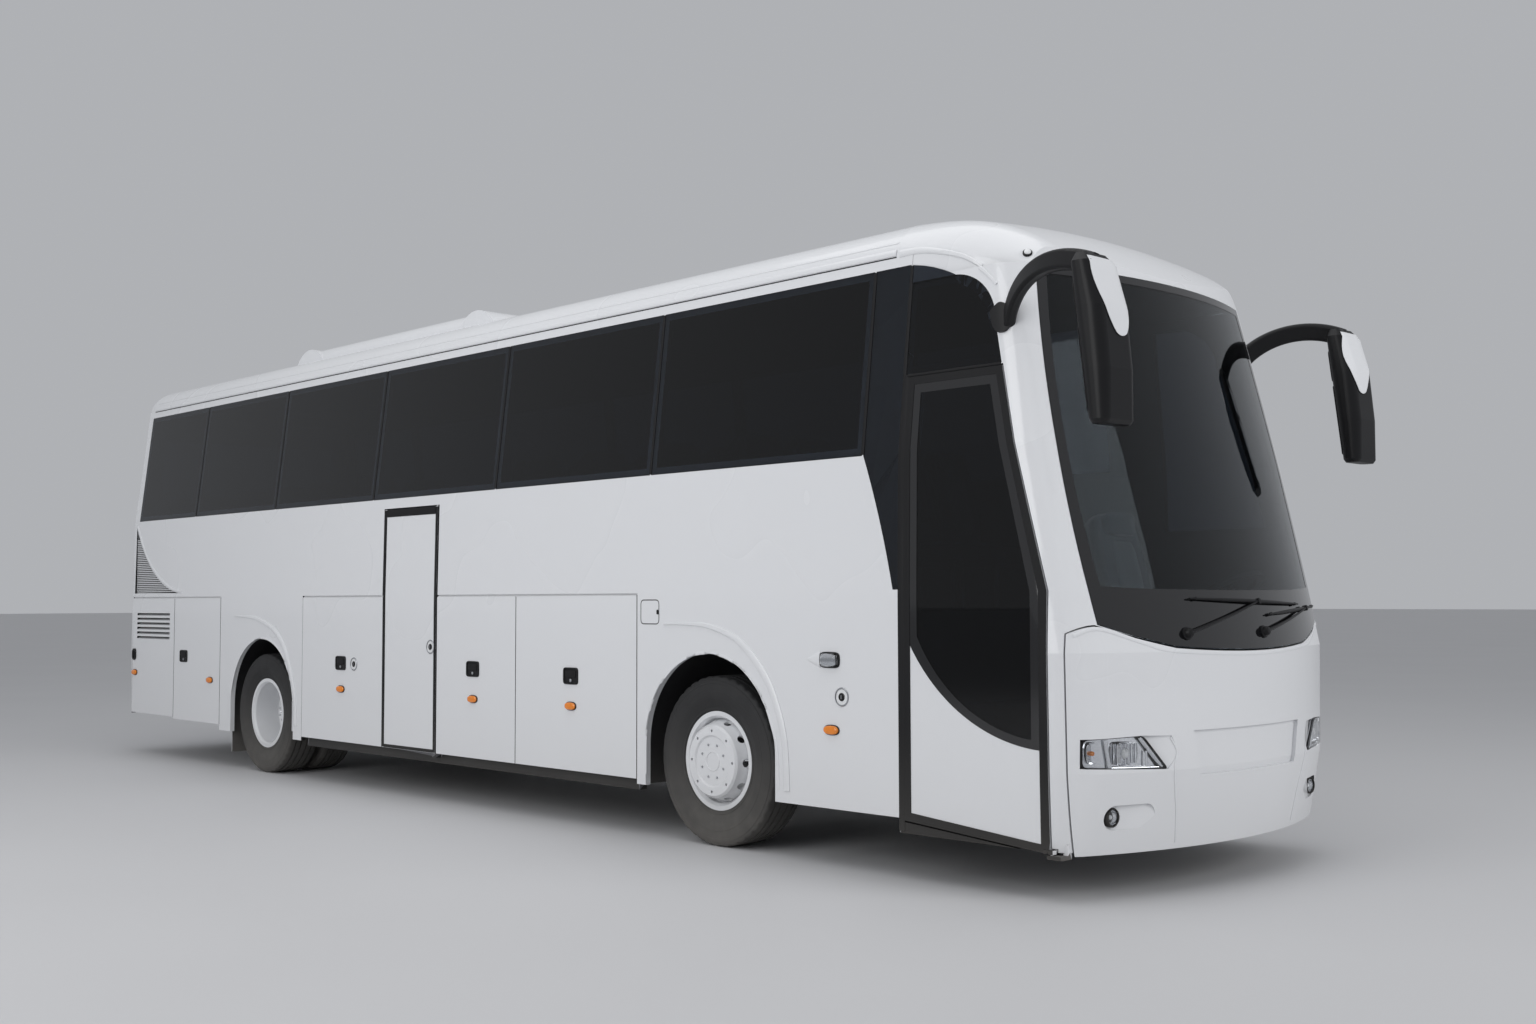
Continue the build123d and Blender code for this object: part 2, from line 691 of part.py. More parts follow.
with BuildPart() as rear_wall:
    add(tail_skin.part)
    block((-FAR, SIDE_REAR_X), (-FAR, FAR), (390, EAVE_Z), mode=Mode.INTERSECT)
    along(
        rectangle(
            (-LID_HALF_WIDTH - PANEL_GAP, LID_HALF_WIDTH + PANEL_GAP),
            (LID_FOOT_Z - PANEL_GAP, LID_TOP_Z + PANEL_GAP),
        ),
        -FAR,
        -5000,
        mode=Mode.SUBTRACT,
    )
    along(REAR_GLASS_HOLE, -FAR, -5000, mode=Mode.SUBTRACT)
    add(rear_glass.part, mode=Mode.SUBTRACT)
    add(rear_lamps.part, mode=Mode.SUBTRACT)
    for y in LID_HINGES:
        rod((LID_PIN_X, y - 50, LID_PIN_Z), (LID_PIN_X, y + 50, LID_PIN_Z), PIVOT_RADIUS)
        block(
            (LID_PIN_X - PIVOT_RADIUS, LID_PIN_X + 10),
            (y - 14, y + 14),
            (LID_PIN_Z - PIVOT_RADIUS, LID_TOP_Z + 60),
        )
        block(
            (LID_PIN_X + 10, LID_PIN_X + 40),
            (y - 14, y + 14),
            (LID_TOP_Z + PANEL_GAP, LID_TOP_Z + 60),
        )
finish(rear_wall, "rear_wall")

# Flaps and side doors below the seam: name, side, rear x, front x, foot z
FLAPS = (
    ("hold_flap_right_1", RIGHT, HOLD_REAR_SEAM_X, MID_DOOR_REAR_X, FLAP_Z),
    ("hold_flap_right_2", RIGHT, MID_DOOR_FRONT_X, HOLD_SPLIT_X, FLAP_Z),
    ("hold_flap_right_3", RIGHT, HOLD_SPLIT_X, HOLD_FRONT_SEAM_X, FLAP_Z),
    ("hold_flap_left_1", LEFT, HOLD_REAR_SEAM_X, -720, FLAP_Z),
    ("hold_flap_left_2", LEFT, -720, 790, FLAP_Z),
    ("hold_flap_left_3", LEFT, 790, HOLD_FRONT_SEAM_X, FLAP_Z),
    ("engine_flap_right", RIGHT, ENGINE_SEAM_X, REAR_ARCH_SEAM_X, FLAP_Z + 20),
    ("engine_flap_left", LEFT, ENGINE_SEAM_X, REAR_ARCH_SEAM_X, FLAP_Z + 20),
    ("radiator_flap_right", RIGHT, SIDE_REAR_X, ENGINE_SEAM_X, FLAP_Z + 38),
    ("radiator_flap_left", LEFT, SIDE_REAR_X, ENGINE_SEAM_X, FLAP_Z + 38),
)
FLAP_TOP_Z = BEAD_Z - 2
LOUVRES = 6
LOUVRE_PITCH = 46
LOUVRE_SLOT = 24
LOUVRE_DROP = 18
LOUVRE_FOOT_Z = 1140
LOUVRE_MARGIN = 110


def louvre(skin, back, foot):
    """Section of one slanted slot through a panel."""
    return [(skin, foot), (skin, foot + LOUVRE_SLOT), (back, foot + LOUVRE_SLOT + LOUVRE_DROP), (back, foot + LOUVRE_DROP)]


for name, side, rear, front, foot in FLAPS:
    with BuildPart() as flap:
        block(
            (rear + PANEL_GAP / 2, front - PANEL_GAP / 2),
            (side * HALF_WIDTH, side * (HALF_WIDTH - PANEL)),
            (foot, FLAP_TOP_Z),
        )
        rod(
            (rear, side * BEAD_Y, BEAD_Z),
            (front, side * BEAD_Y, BEAD_Z),
            BEAD_RADIUS + PIN_GAP,
            mode=Mode.SUBTRACT,
        )
        if name.startswith("radiator"):
            for i in range(LOUVRES):
                slot = louvre(side * HALF_WIDTH, side * (HALF_WIDTH - PANEL), LOUVRE_FOOT_Z + i * LOUVRE_PITCH)
                along(slot, rear + LOUVRE_MARGIN, front - LOUVRE_MARGIN, mode=Mode.SUBTRACT)
    finish(flap, name)

# Middle door, which reaches up into the side wall
with BuildPart() as mid_door:
    along(
        [
            (-HALF_WIDTH, FLAP_Z),
            (-HALF_WIDTH, SEAM_Z),
            (-side_y(MID_DOOR_TOP_Z), MID_DOOR_TOP_Z),
            (-side_y(MID_DOOR_TOP_Z) + PANEL, MID_DOOR_TOP_Z),
            (-HALF_WIDTH + PANEL, SEAM_Z),
            (-HALF_WIDTH + PANEL, FLAP_Z),
        ],
        MID_DOOR_REAR_X + 2,
        MID_LEAF_FRONT_X,
    )
    rod(
        (MID_PIVOT_X, -PIVOT_Y, MID_DOOR_TOP_Z - PIVOT_DEPTH - PIN_GAP),
        (MID_PIVOT_X, -PIVOT_Y, MID_DOOR_TOP_Z + 1),
        TOP_PIVOT_RADIUS + PIN_GAP,
        mode=Mode.SUBTRACT,
    )
    rod(
        (MID_PIVOT_X, -PIVOT_Y, FLAP_Z - 1),
        (MID_PIVOT_X, -PIVOT_Y, FLAP_Z + PIVOT_DEPTH),
        PIVOT_RADIUS + PIN_GAP,
        mode=Mode.SUBTRACT,
    )
finish(mid_door, "mid_door")

# Front door leaf and its glass
with BuildPart() as front_door_glass:
    across(door_glass_outline(0), -FAR, -800)
    add(pane_skin.part, mode=Mode.INTERSECT)
finish(front_door_glass, "front_door_glass")
with BuildPart() as front_door:
    across(door_outline(0), -FAR, -800)
    add(front_outer, mode=Mode.INTERSECT)
    add(front_panel, mode=Mode.SUBTRACT)
    across(door_glass_outline(FRAME_WIDTH), -FAR, -800, mode=Mode.SUBTRACT)
    add(front_door_glass.part, mode=Mode.SUBTRACT)
    block(
        (DOOR_FRONT_X - 30, DOOR_PIVOT_X + FRONT_LUG),
        (-DOOR_PIVOT_Y - FRONT_LUG, -DOOR_PIVOT_Y + FRONT_LUG),
        (DOOR_FRONT_FOOT_Z, DOOR_FRONT_FOOT_Z + PIVOT_DEPTH),
    )
    rod(
        (DOOR_PIVOT_X, -DOOR_PIVOT_Y, DOOR_FRONT_FOOT_Z - 10),
        (DOOR_PIVOT_X, -DOOR_PIVOT_Y, DOOR_FRONT_FOOT_Z + PIVOT_DEPTH + 10),
        PIVOT_RADIUS + PIN_GAP,
        mode=Mode.SUBTRACT,
    )
finish(front_door, "front_door")


# Fixed panels with the wheel arches and the liners behind them
def arch_path(x, radius):
    """Arch opening over an axle, open at the bottom."""
    return [
        (x - radius, 0),
        (x + radius, 0),
        (x + radius, ARCH_CENTRE_Z),
        ((x, ARCH_CENTRE_Z + radius), (x - radius, ARCH_CENTRE_Z)),
    ]


LINER = 6
LINER_RADIUS = 640
LINER_INNER_Y = 545
# Arch panels: axle x, rear edge, front edge, foot of the mud flap
ARCHES = (
    (FRONT_AXLE_X - 19, HOLD_FRONT_SEAM_X, SIDE_FRONT_X, SKIRT_Z),
    (REAR_AXLE_X + 15, REAR_ARCH_SEAM_X, HOLD_REAR_SEAM_X, 140),
)
for name, side in (("right", RIGHT), ("left", LEFT)):
    with BuildPart() as skirt:
        for axle, rear, front, mud_flap_z in ARCHES:
            block(
                (rear + PANEL_GAP / 2, front),
                (side * HALF_WIDTH, side * (HALF_WIDTH - PANEL)),
                (SKIRT_Z, SEAM_Z + 4),
            )
            across(
                arch_path(axle, LINER_RADIUS + LINER),
                side * (HALF_WIDTH - PANEL),
                side * LINER_INNER_Y,
            )
        block((-FAR, FAR), (-FAR, FAR), (0, SKIRT_Z), mode=Mode.SUBTRACT)
        for axle, rear, front, mud_flap_z in ARCHES:
            across(arch_path(axle, ARCH_RADIUS), -FAR, FAR, mode=Mode.SUBTRACT)
            across(arch_path(axle, LINER_RADIUS), side * (HALF_WIDTH - PANEL), 0, mode=Mode.SUBTRACT)
            if mud_flap_z < SKIRT_Z:
                block(
                    (axle - LINER_RADIUS - LINER, axle - LINER_RADIUS),
                    (side * LINER_INNER_Y, side * (HALF_WIDTH - PANEL)),
                    (mud_flap_z, SKIRT_Z),
                )
    finish(skirt, f"skirt_{name}")

# Chassis: deck beams, and the low rails before and behind the hold
BEAM_BOTTOM_Z = 1300
HOLD_REAR_X = HOLD_REAR_SEAM_X + 30
HOLD_FRONT_X = HOLD_FRONT_SEAM_X - 30
PANEL_BACK = HALF_WIDTH - PANEL
FLOOR_EDGE = PANEL_BACK - 10
# Cross members under the deck: x, reach to each side
CROSS_MEMBERS = (
    (-5600, FLOOR_EDGE),
    (-4300, FLOOR_EDGE),
    (-3760, PANEL_BACK),
    (-2300, PANEL_BACK),
    (-1000, FLOOR_EDGE),
    (-60, FLOOR_EDGE),
    (1100, FLOOR_EDGE),
    (2300, PANEL_BACK),
    (4170, PANEL_BACK),
)
JACK_PADS_X = (-4050, 3900)
with BuildPart() as front_reach:
    add(front_inner)
    block((-FAR, 4100), (-FAR, FAR), (0, FAR))
with BuildPart() as chassis_frame:
    for side in (RIGHT, LEFT):
        rail = (side * RAIL_INNER, side * RAIL_OUTER)
        block((-5600, 4250), rail, (BEAM_BOTTOM_Z, DECK_Z - DECK_THICKNESS))
        block((-5600, HOLD_REAR_X), rail, (RAIL_BOTTOM_Z, RAIL_TOP_Z))
        block((HOLD_FRONT_X, 5640), rail, (RAIL_BOTTOM_Z, RAIL_TOP_Z))
        for x in (-5600, -4300, HOLD_REAR_X - 80, HOLD_FRONT_X, 4170):
            block((x, x + 80), rail, (RAIL_TOP_Z, BEAM_BOTTOM_Z))
    for x in (HOLD_REAR_X - 80, HOLD_FRONT_X, 4170, 5560):
        block((x, x + 80), (-RAIL_INNER, RAIL_INNER), (RAIL_BOTTOM_Z, RAIL_TOP_Z))
    for x, reach in CROSS_MEMBERS:
        block((x, x + 60), (-reach, reach), (BEAM_BOTTOM_Z + 40, DECK_Z - DECK_THICKNESS))
    for side in (RIGHT, LEFT):
        block((5600, FAR), (side * RAIL_INNER, side * RAIL_OUTER), (RAIL_BOTTOM_Z, RAIL_TOP_Z))
    add(front_reach.part, mode=Mode.INTERSECT)
    for x in JACK_PADS_X:
        for side in (RIGHT, LEFT):
            block((x - 60, x + 60), (side * RAIL_INNER, side * RAIL_OUTER), (RAIL_BOTTOM_Z - 20, RAIL_BOTTOM_Z))
finish(chassis_frame, "chassis_frame")

# Luggage hold between the axles
ROCKER_Z = 285
ROCKER_DEPTH = 60
with BuildPart() as hold_box:
    block((HOLD_REAR_X, HOLD_FRONT_X), (-FLOOR_EDGE, FLOOR_EDGE), (HOLD_FLOOR_Z - 30, HOLD_FLOOR_Z))
    for side in (RIGHT, LEFT):
        block(
            (HOLD_REAR_X, HOLD_FRONT_X),
            (side * FLOOR_EDGE, side * (FLOOR_EDGE - ROCKER_DEPTH)),
            (ROCKER_Z, HOLD_FLOOR_Z - 30),
        )
    for x in (HOLD_REAR_X, HOLD_FRONT_X - PLATE):
        block((x, x + PLATE), (-FLOOR_EDGE, FLOOR_EDGE), (HOLD_FLOOR_Z, BEAM_BOTTOM_Z))
    for x in (MID_DOOR_REAR_X - 10 - PLATE, MID_DOOR_FRONT_X + 10):
        block((x, x + PLATE), (-FLOOR_EDGE, -400), (HOLD_FLOOR_Z, BEAM_BOTTOM_Z))
    block(
        (MID_DOOR_REAR_X - 10, MID_DOOR_FRONT_X + 10), (-400 - PLATE, -400), (HOLD_FLOOR_Z, BEAM_BOTTOM_Z)
    )
    block(
        (MID_PIVOT_X - 30, MID_PIVOT_X + 20),
        (-PIVOT_Y - 14, -FLOOR_EDGE),
        (HOLD_FLOOR_Z - 30, HOLD_FLOOR_Z - RUN_GAP),
    )
    rod(
        (MID_PIVOT_X, -PIVOT_Y, HOLD_FLOOR_Z - 30),
        (MID_PIVOT_X, -PIVOT_Y, FLAP_Z + PIVOT_DEPTH - PIN_GAP),
        PIVOT_RADIUS,
    )
finish(hold_box, "hold_box")

# Floors and steps
ENTRY_INNER_Y = -460
STAIR_INNER_Y = -400 - PLATE
with BuildPart() as cabin_floor:
    block((-5760, 4280), (-FLOOR_EDGE, FLOOR_EDGE), (DECK_Z - DECK_THICKNESS, DECK_Z))
    block(
        (MID_DOOR_REAR_X, MID_DOOR_FRONT_X), (-1300, -400), (DECK_Z - 60, DECK_Z + 10), mode=Mode.SUBTRACT
    )
    block((4255, 4280), (-FLOOR_EDGE, FLOOR_EDGE), (CAB_FLOOR_Z - 30, DECK_Z - DECK_THICKNESS))
    block((4280, 5690), (ENTRY_INNER_Y, 1050), (CAB_FLOOR_Z - 30, CAB_FLOOR_Z))
    block((4280, 5440), (1050, FLOOR_EDGE), (CAB_FLOOR_Z - 30, CAB_FLOOR_Z))
    for step in range(3):
        z = 360 + 175 * step
        y = ENTRY_INNER_Y + 240 * (step - 3)
        block((4600, 5400), (y, y + 240), (z, z + 30))
        block((4600, 5400), (y + 220, y + 240), (z, z + 205))
    for step in range(4):
        z = HOLD_FLOOR_Z + 40 + 210 * step
        y = STAIR_INNER_Y + 190 * (step - 4)
        block((MID_DOOR_REAR_X, MID_DOOR_FRONT_X), (y, y + 190), (z, z + 30))
        block((MID_DOOR_REAR_X, MID_DOOR_FRONT_X), (y + 170, y + 190), (z, z + 240))
    block((MID_DOOR_REAR_X, MID_DOOR_FRONT_X), (STAIR_INNER_Y - 760, STAIR_INNER_Y), (HOLD_FLOOR_Z, HOLD_FLOOR_Z + 40))
finish(cabin_floor, "cabin_floor")

# Passenger seats in pairs on both sides of the aisle
SEAT_ROWS = 12
SEAT_PITCH = 780
FIRST_ROW_X = 3600
SEAT_WIDTH = 900
with BuildPart() as passenger_seats:
    for row in range(SEAT_ROWS):
        x = FIRST_ROW_X - row * SEAT_PITCH
        for side in (RIGHT, LEFT):
            over_stairs = side == RIGHT and MID_DOOR_REAR_X - 300 < x - 300 < MID_DOOR_FRONT_X + 300
            if over_stairs:
                continue
            across(
                [
                    (x - 430, DECK_Z),
                    (x - 80, DECK_Z),
                    (x - 80, DECK_Z + 300),
                    (x, DECK_Z + 320),
                    (x, DECK_Z + 450),
                    (x - 360, DECK_Z + 430),
                    (x - 540, DECK_Z + 1130),
                    (x - 640, DECK_Z + 1110),
                    (x - 460, DECK_Z + 300),
                    (x - 430, DECK_Z + 300),
                ],
                side * 240,
                side * (240 + SEAT_WIDTH),
            )
finish(passenger_seats, "passenger_seats")

# Driver's place
SEAT_X = 4950
SEAT_Y = 620
with BuildPart() as driver_seat:
    block((SEAT_X - 180, SEAT_X + 180), (SEAT_Y - 180, SEAT_Y + 180), (CAB_FLOOR_Z, CAB_FLOOR_Z + 330))
    across(
        [
            (SEAT_X - 260, CAB_FLOOR_Z + 330),
            (SEAT_X + 250, CAB_FLOOR_Z + 330),
            (SEAT_X + 250, CAB_FLOOR_Z + 460),
            (SEAT_X - 140, CAB_FLOOR_Z + 440),
            (SEAT_X - 290, CAB_FLOOR_Z + 1180),
            (SEAT_X - 400, CAB_FLOOR_Z + 1160),
        ],
        SEAT_Y - 250,
        SEAT_Y + 250,
    )
finish(driver_seat, "driver_seat")

WHEEL_TILT = 30
COLUMN_FOOT = Vector(5640, SEAT_Y, 1180)
COLUMN_AXIS = Vector(-sin(radians(WHEEL_TILT)), 0, cos(radians(WHEEL_TILT)))
COLUMN_TOP = COLUMN_FOOT + COLUMN_AXIS * 390
with BuildPart() as dashboard:
    across(
        [
            (5450, CAB_FLOOR_Z),
            (5740, CAB_FLOOR_Z),
            (5740, 1290),
            ((5640, 1360), (5520, 1330)),
            (5450, 1150),
        ],
        -1000,
        1000,
    )
    add(front_inner, mode=Mode.INTERSECT)
    rod(tuple(COLUMN_FOOT), tuple(COLUMN_TOP - COLUMN_AXIS * PIN_GAP), 45)
finish(dashboard, "dashboard")

with BuildPart() as steering_wheel:
    wheel_plane = Plane(origin=COLUMN_TOP, x_dir=(0, 1, 0), z_dir=COLUMN_AXIS)
    with BuildSketch(wheel_plane) as hub:
        Circle(60)
    extrude(hub.sketch, amount=40)
    with BuildSketch(wheel_plane.offset(20)) as spokes:
        for angle in (0, 120, 240):
            with Locations(Rot(0, 0, angle)):
                Rectangle(220, 40, align=(Align.MIN, Align.CENTER))
    extrude(spokes.sketch, amount=14)
    with BuildSketch(wheel_plane.offset(12)) as rim:
        Circle(235)
        Circle(203, mode=Mode.SUBTRACT)
    extrude(rim.sketch, amount=30)
finish(steering_wheel, "steering_wheel")

# Engine at the tail
with BuildPart() as engine:
    block((-5560, -4360), (-RAIL_INNER, RAIL_INNER), (480, 1280))
finish(engine, "engine")


# Axles
def turned(x, y, path):
    """Ring or disc about an axle line: path holds pairs of y offset and radius."""
    plane = Plane(origin=(x, y, AXLE_Z), x_dir=(0, 1, 0), z_dir=(1, 0, 0))
    revolve(outline(plane, path), axis=Axis((x, y, AXLE_Z), (0, 1, 0)))


KINGPIN_RADIUS = 22
EYE_RADIUS = 48
EYE_HALF = 50
LUG_THICKNESS = 45
BELLOWS_RADIUS = 95
with BuildPart() as front_axle:
    block((FRONT_AXLE_X - 55, FRONT_AXLE_X + 55), (-KINGPIN_Y + 20, KINGPIN_Y - 20), (AXLE_Z - 50, AXLE_Z + 50))
    for side in (RIGHT, LEFT):
        y = side * KINGPIN_Y
        rod((FRONT_AXLE_X, y, AXLE_Z - EYE_HALF), (FRONT_AXLE_X, y, AXLE_Z + EYE_HALF), EYE_RADIUS)
        rail_y = side * (RAIL_INNER + RAIL_OUTER) / 2
        rod((FRONT_AXLE_X, rail_y, AXLE_Z), (FRONT_AXLE_X, rail_y, RAIL_BOTTOM_Z), BELLOWS_RADIUS)
    for side in (RIGHT, LEFT):
        y = side * KINGPIN_Y
        rod(
            (FRONT_AXLE_X, y, AXLE_Z - EYE_HALF - 1),
            (FRONT_AXLE_X, y, AXLE_Z + EYE_HALF + 1),
            KINGPIN_RADIUS + PIN_GAP,
            mode=Mode.SUBTRACT,
        )
finish(front_axle, "front_axle")

for name, side in (("right", RIGHT), ("left", LEFT)):
    y = side * KINGPIN_Y
    web = (y + side * (EYE_RADIUS + RUN_GAP), y + side * (HUB_INNER - RUN_GAP))
    with BuildPart() as knuckle:
        rod(
            (FRONT_AXLE_X, y, AXLE_Z - EYE_HALF - LUG_THICKNESS),
            (FRONT_AXLE_X, y, AXLE_Z + EYE_HALF + LUG_THICKNESS),
            KINGPIN_RADIUS,
        )
        for z in (AXLE_Z - EYE_HALF - LUG_THICKNESS, AXLE_Z + EYE_HALF + PIN_GAP):
            rod((FRONT_AXLE_X, y, z), (FRONT_AXLE_X, y, z + LUG_THICKNESS - PIN_GAP), EYE_RADIUS)
            block(
                (FRONT_AXLE_X - EYE_RADIUS, FRONT_AXLE_X + EYE_RADIUS),
                (y, web[1]),
                (z, z + LUG_THICKNESS - PIN_GAP),
            )
        block(
            (FRONT_AXLE_X - EYE_RADIUS, FRONT_AXLE_X + EYE_RADIUS),
            web,
            (AXLE_Z - EYE_HALF - LUG_THICKNESS, AXLE_Z + EYE_HALF + LUG_THICKNESS),
        )
        block(
            (FRONT_AXLE_X - STEERING_ARM - 30, FRONT_AXLE_X),
            (y - 25, y + 25),
            (AXLE_Z - EYE_HALF - LUG_THICKNESS, AXLE_Z - EYE_HALF - RUN_GAP),
        )
        rod(
            (FRONT_AXLE_X, web[0], AXLE_Z),
            (FRONT_AXLE_X, y + side * (HUB_INNER + SPINDLE_LENGTH), AXLE_Z),
            SPINDLE_RADIUS,
        )
    finish(knuckle, f"knuckle_{name}")

ROD_TOP_Z = AXLE_Z - EYE_HALF - LUG_THICKNESS - PIN_GAP
with BuildPart() as tie_rod:
    ends = [(FRONT_AXLE_X - STEERING_ARM, side * KINGPIN_Y) for side in (RIGHT, LEFT)]
    rod((*ends[0], ROD_TOP_Z - 25), (*ends[1], ROD_TOP_Z - 25), 20)
    for end in ends:
        rod((*end, ROD_TOP_Z - 50), (*end, ROD_TOP_Z), 32)
finish(tie_rod, "tie_rod")

REAR_RAIL_Y = (RAIL_INNER + RAIL_OUTER) / 2
with BuildPart() as rear_axle:
    rod((REAR_AXLE_X, -690, AXLE_Z), (REAR_AXLE_X, 690, AXLE_Z), 85)
    stub = TYRE_CENTRE - TWIN_SPACING - 20 + SPINDLE_LENGTH
    rod((REAR_AXLE_X, -stub, AXLE_Z), (REAR_AXLE_X, stub, AXLE_Z), SPINDLE_RADIUS)
    turned(REAR_AXLE_X, 0, [(-190, 0), (-190, 90), (-110, 205), (110, 205), (190, 90), (190, 0)])
    for side in (RIGHT, LEFT):
        y = side * REAR_RAIL_Y
        block((REAR_AXLE_X - 420, REAR_AXLE_X + 420), (y - 55, y + 55), (AXLE_Z - 60, AXLE_Z + 20))
        for x in (-330, 330):
            rod((REAR_AXLE_X + x, y, AXLE_Z), (REAR_AXLE_X + x, y, RAIL_BOTTOM_Z), BELLOWS_RADIUS)
finish(rear_axle, "rear_axle")


# Wheels: offsets run outward from the tyre's middle plane
RIM_HALF = TYRE_WIDTH / 2 - 30
BARREL_RADIUS = 262
DISC_HALF = 14
HUB_RADIUS = 105
FRONT_DISC = 46
FRONT_HUB_END = 160
REAR_HUB_END = -40
REAR_DISC = DISC_HALF - TWIN_SPACING / 2
COVER = 172
COVER_RADIUS = 223
COVER_DISH_RADIUS = 150
COVER_DISH = 10
CONE = 13
HAND_HOLES = 10
HAND_HOLE_RADIUS = 26
REAR_HOLE_CIRCLE = 205
COVER_HOLES = 8
COVER_HOLE_RADIUS = 9
COVER_HOLE_CIRCLE = 186


def barrel_path(side):
    """Rim barrel with its two lips."""
    points = [
        (-RIM_HALF, BARREL_RADIUS),
        (-RIM_HALF, RIM_LIP),
        (-RIM_HALF + 12, RIM_LIP),
        (-RIM_HALF + 16, RIM_SEAT - 0.3),
        (RIM_HALF - 16, RIM_SEAT - 0.3),
        (RIM_HALF - 12, RIM_LIP),
        (RIM_HALF, RIM_LIP),
        (RIM_HALF, BARREL_RADIUS + 14),
        (RIM_HALF - 20, BARREL_RADIUS),
    ]
    return [(side * offset, radius) for offset, radius in points]


def disc_path(side, disc):
    """Wheel disc that meets the barrel deep inside the rim."""
    points = [
        (disc - DISC_HALF, HUB_RADIUS - 10),
        (disc - DISC_HALF, BARREL_RADIUS + 8),
        (max(disc + DISC_HALF, -RIM_HALF + 1), BARREL_RADIUS + 8),
        (max(disc + DISC_HALF, -RIM_HALF + 1), BARREL_RADIUS - 8),
        (disc + DISC_HALF, BARREL_RADIUS - 40),
        (disc + DISC_HALF, HUB_RADIUS - 10),
    ]
    return [(side * offset, radius) for offset, radius in points]


def cone_path(side):
    """Front wheel's cone with the dished hub cover that closes it."""
    points = [
        (FRONT_HUB_END - COVER_DISH, 0),
        (COVER - COVER_DISH, 0),
        (COVER - COVER_DISH, COVER_DISH_RADIUS),
        (COVER, COVER_DISH_RADIUS + COVER_DISH),
        (COVER, COVER_RADIUS - CONE),
        (COVER - CONE, COVER_RADIUS),
        (FRONT_DISC + CONE, BARREL_RADIUS - 4),
        (FRONT_DISC + CONE, BARREL_RADIUS + 8),
        (FRONT_DISC, BARREL_RADIUS + 8),
        (FRONT_DISC, BARREL_RADIUS - 4 - CONE),
        (COVER - 2 * CONE, COVER_RADIUS - CONE),
        (FRONT_HUB_END - COVER_DISH, COVER_RADIUS - 2 * CONE),
    ]
    return [(side * offset, radius) for offset, radius in points]


def hole_ring(x, count, circle, start, end, radius):
    """Holes along the axle, spaced evenly on a circle, between two values of y."""
    for i in range(count):
        turn = 2 * pi * i / count
        hole_x, hole_z = x + circle * cos(turn), AXLE_Z + circle * sin(turn)
        rod((hole_x, start, hole_z), (hole_x, end, hole_z), radius, mode=Mode.SUBTRACT)


def hand_holes(x, y):
    """Holes through the front wheel's cone, next to the rim."""
    for i in range(HAND_HOLES):
        turn = 2 * pi * i / HAND_HOLES
        spoke = (cos(turn), sin(turn))
        inner, outer = COVER_RADIUS - 2 * CONE, BARREL_RADIUS - 2
        rod(
            (x + inner * spoke[0], y, AXLE_Z + inner * spoke[1]),
            (x + outer * spoke[0], y, AXLE_Z + outer * spoke[1]),
            HAND_HOLE_RADIUS,
            mode=Mode.SUBTRACT,
        )


def hub_path(side, inner, outer):
    """Hub with a blind bore for the spindle and a stepped cap."""
    bore_end = inner + SPINDLE_LENGTH + PIN_GAP
    points = [
        (bore_end, 0),
        (bore_end, SPINDLE_RADIUS + PIN_GAP),
        (inner, SPINDLE_RADIUS + PIN_GAP),
        (inner, HUB_RADIUS),
        (outer - 30, HUB_RADIUS),
        (outer, HUB_RADIUS - 20),
        (outer, 0),
    ]
    return [(side * offset, radius) for offset, radius in points]


def tyre_profile(side, shoulder):
    """Half section of a tyre with conical sidewalls, and shoulders where they show."""
    half = TYRE_WIDTH / 2
    seat = half - 53
    points = [(-seat, RIM_SEAT), (-half, 400)]
    points += [(-TREAD_WIDTH / 2, TYRE_RADIUS), (TREAD_WIDTH / 2, TYRE_RADIUS)]
    points += [(half, 400), (seat, RIM_SEAT)]
    if shoulder:
        points.insert(2, (-half, 470))
        points.insert(5, (half, 470))
    return [(side * offset, radius) for offset, radius in points]


for name, side in (("right", RIGHT), ("left", LEFT)):
    y = side * TYRE_CENTRE
    inner = HUB_INNER - KINGPIN_OFFSET
    with BuildPart() as wheel:
        turned(FRONT_AXLE_X, y, barrel_path(side))
        turned(FRONT_AXLE_X, y, cone_path(side))
        turned(FRONT_AXLE_X, y, hub_path(side, inner, FRONT_HUB_END))
        hand_holes(FRONT_AXLE_X, y + side * (FRONT_DISC + COVER - CONE) / 2)
        hole_ring(
            FRONT_AXLE_X,
            COVER_HOLES,
            COVER_HOLE_CIRCLE,
            y + side * (COVER - 2 * CONE),
            y + side * (COVER + CONE),
            COVER_HOLE_RADIUS,
        )
    finish(wheel, f"wheel_front_{name}")
    with BuildPart() as tyre:
        turned(FRONT_AXLE_X, y, tyre_profile(side, True))
    finish(tyre, f"tyre_front_{name}")
    twin = side * (TYRE_CENTRE - TWIN_SPACING)
    with BuildPart() as wheel:
        turned(REAR_AXLE_X, y, barrel_path(side))
        turned(REAR_AXLE_X, y, disc_path(side, REAR_DISC))
        turned(REAR_AXLE_X, y, hub_path(side, -TWIN_SPACING - 20, REAR_HUB_END))
        turned(REAR_AXLE_X, twin, barrel_path(-side))
        turned(REAR_AXLE_X, twin, disc_path(-side, REAR_DISC))
        middle = side * (TYRE_CENTRE - TWIN_SPACING / 2)
        hole_ring(
            REAR_AXLE_X,
            HAND_HOLES,
            REAR_HOLE_CIRCLE,
            middle - side * 3 * DISC_HALF,
            middle + side * 3 * DISC_HALF,
            HAND_HOLE_RADIUS,
        )
    finish(wheel, f"wheel_rear_{name}")
    with BuildPart() as tyre:
        turned(REAR_AXLE_X, y, tyre_profile(side, True))
        turned(REAR_AXLE_X, twin, tyre_profile(side, False))
    finish(tyre, f"tyre_rear_{name}")

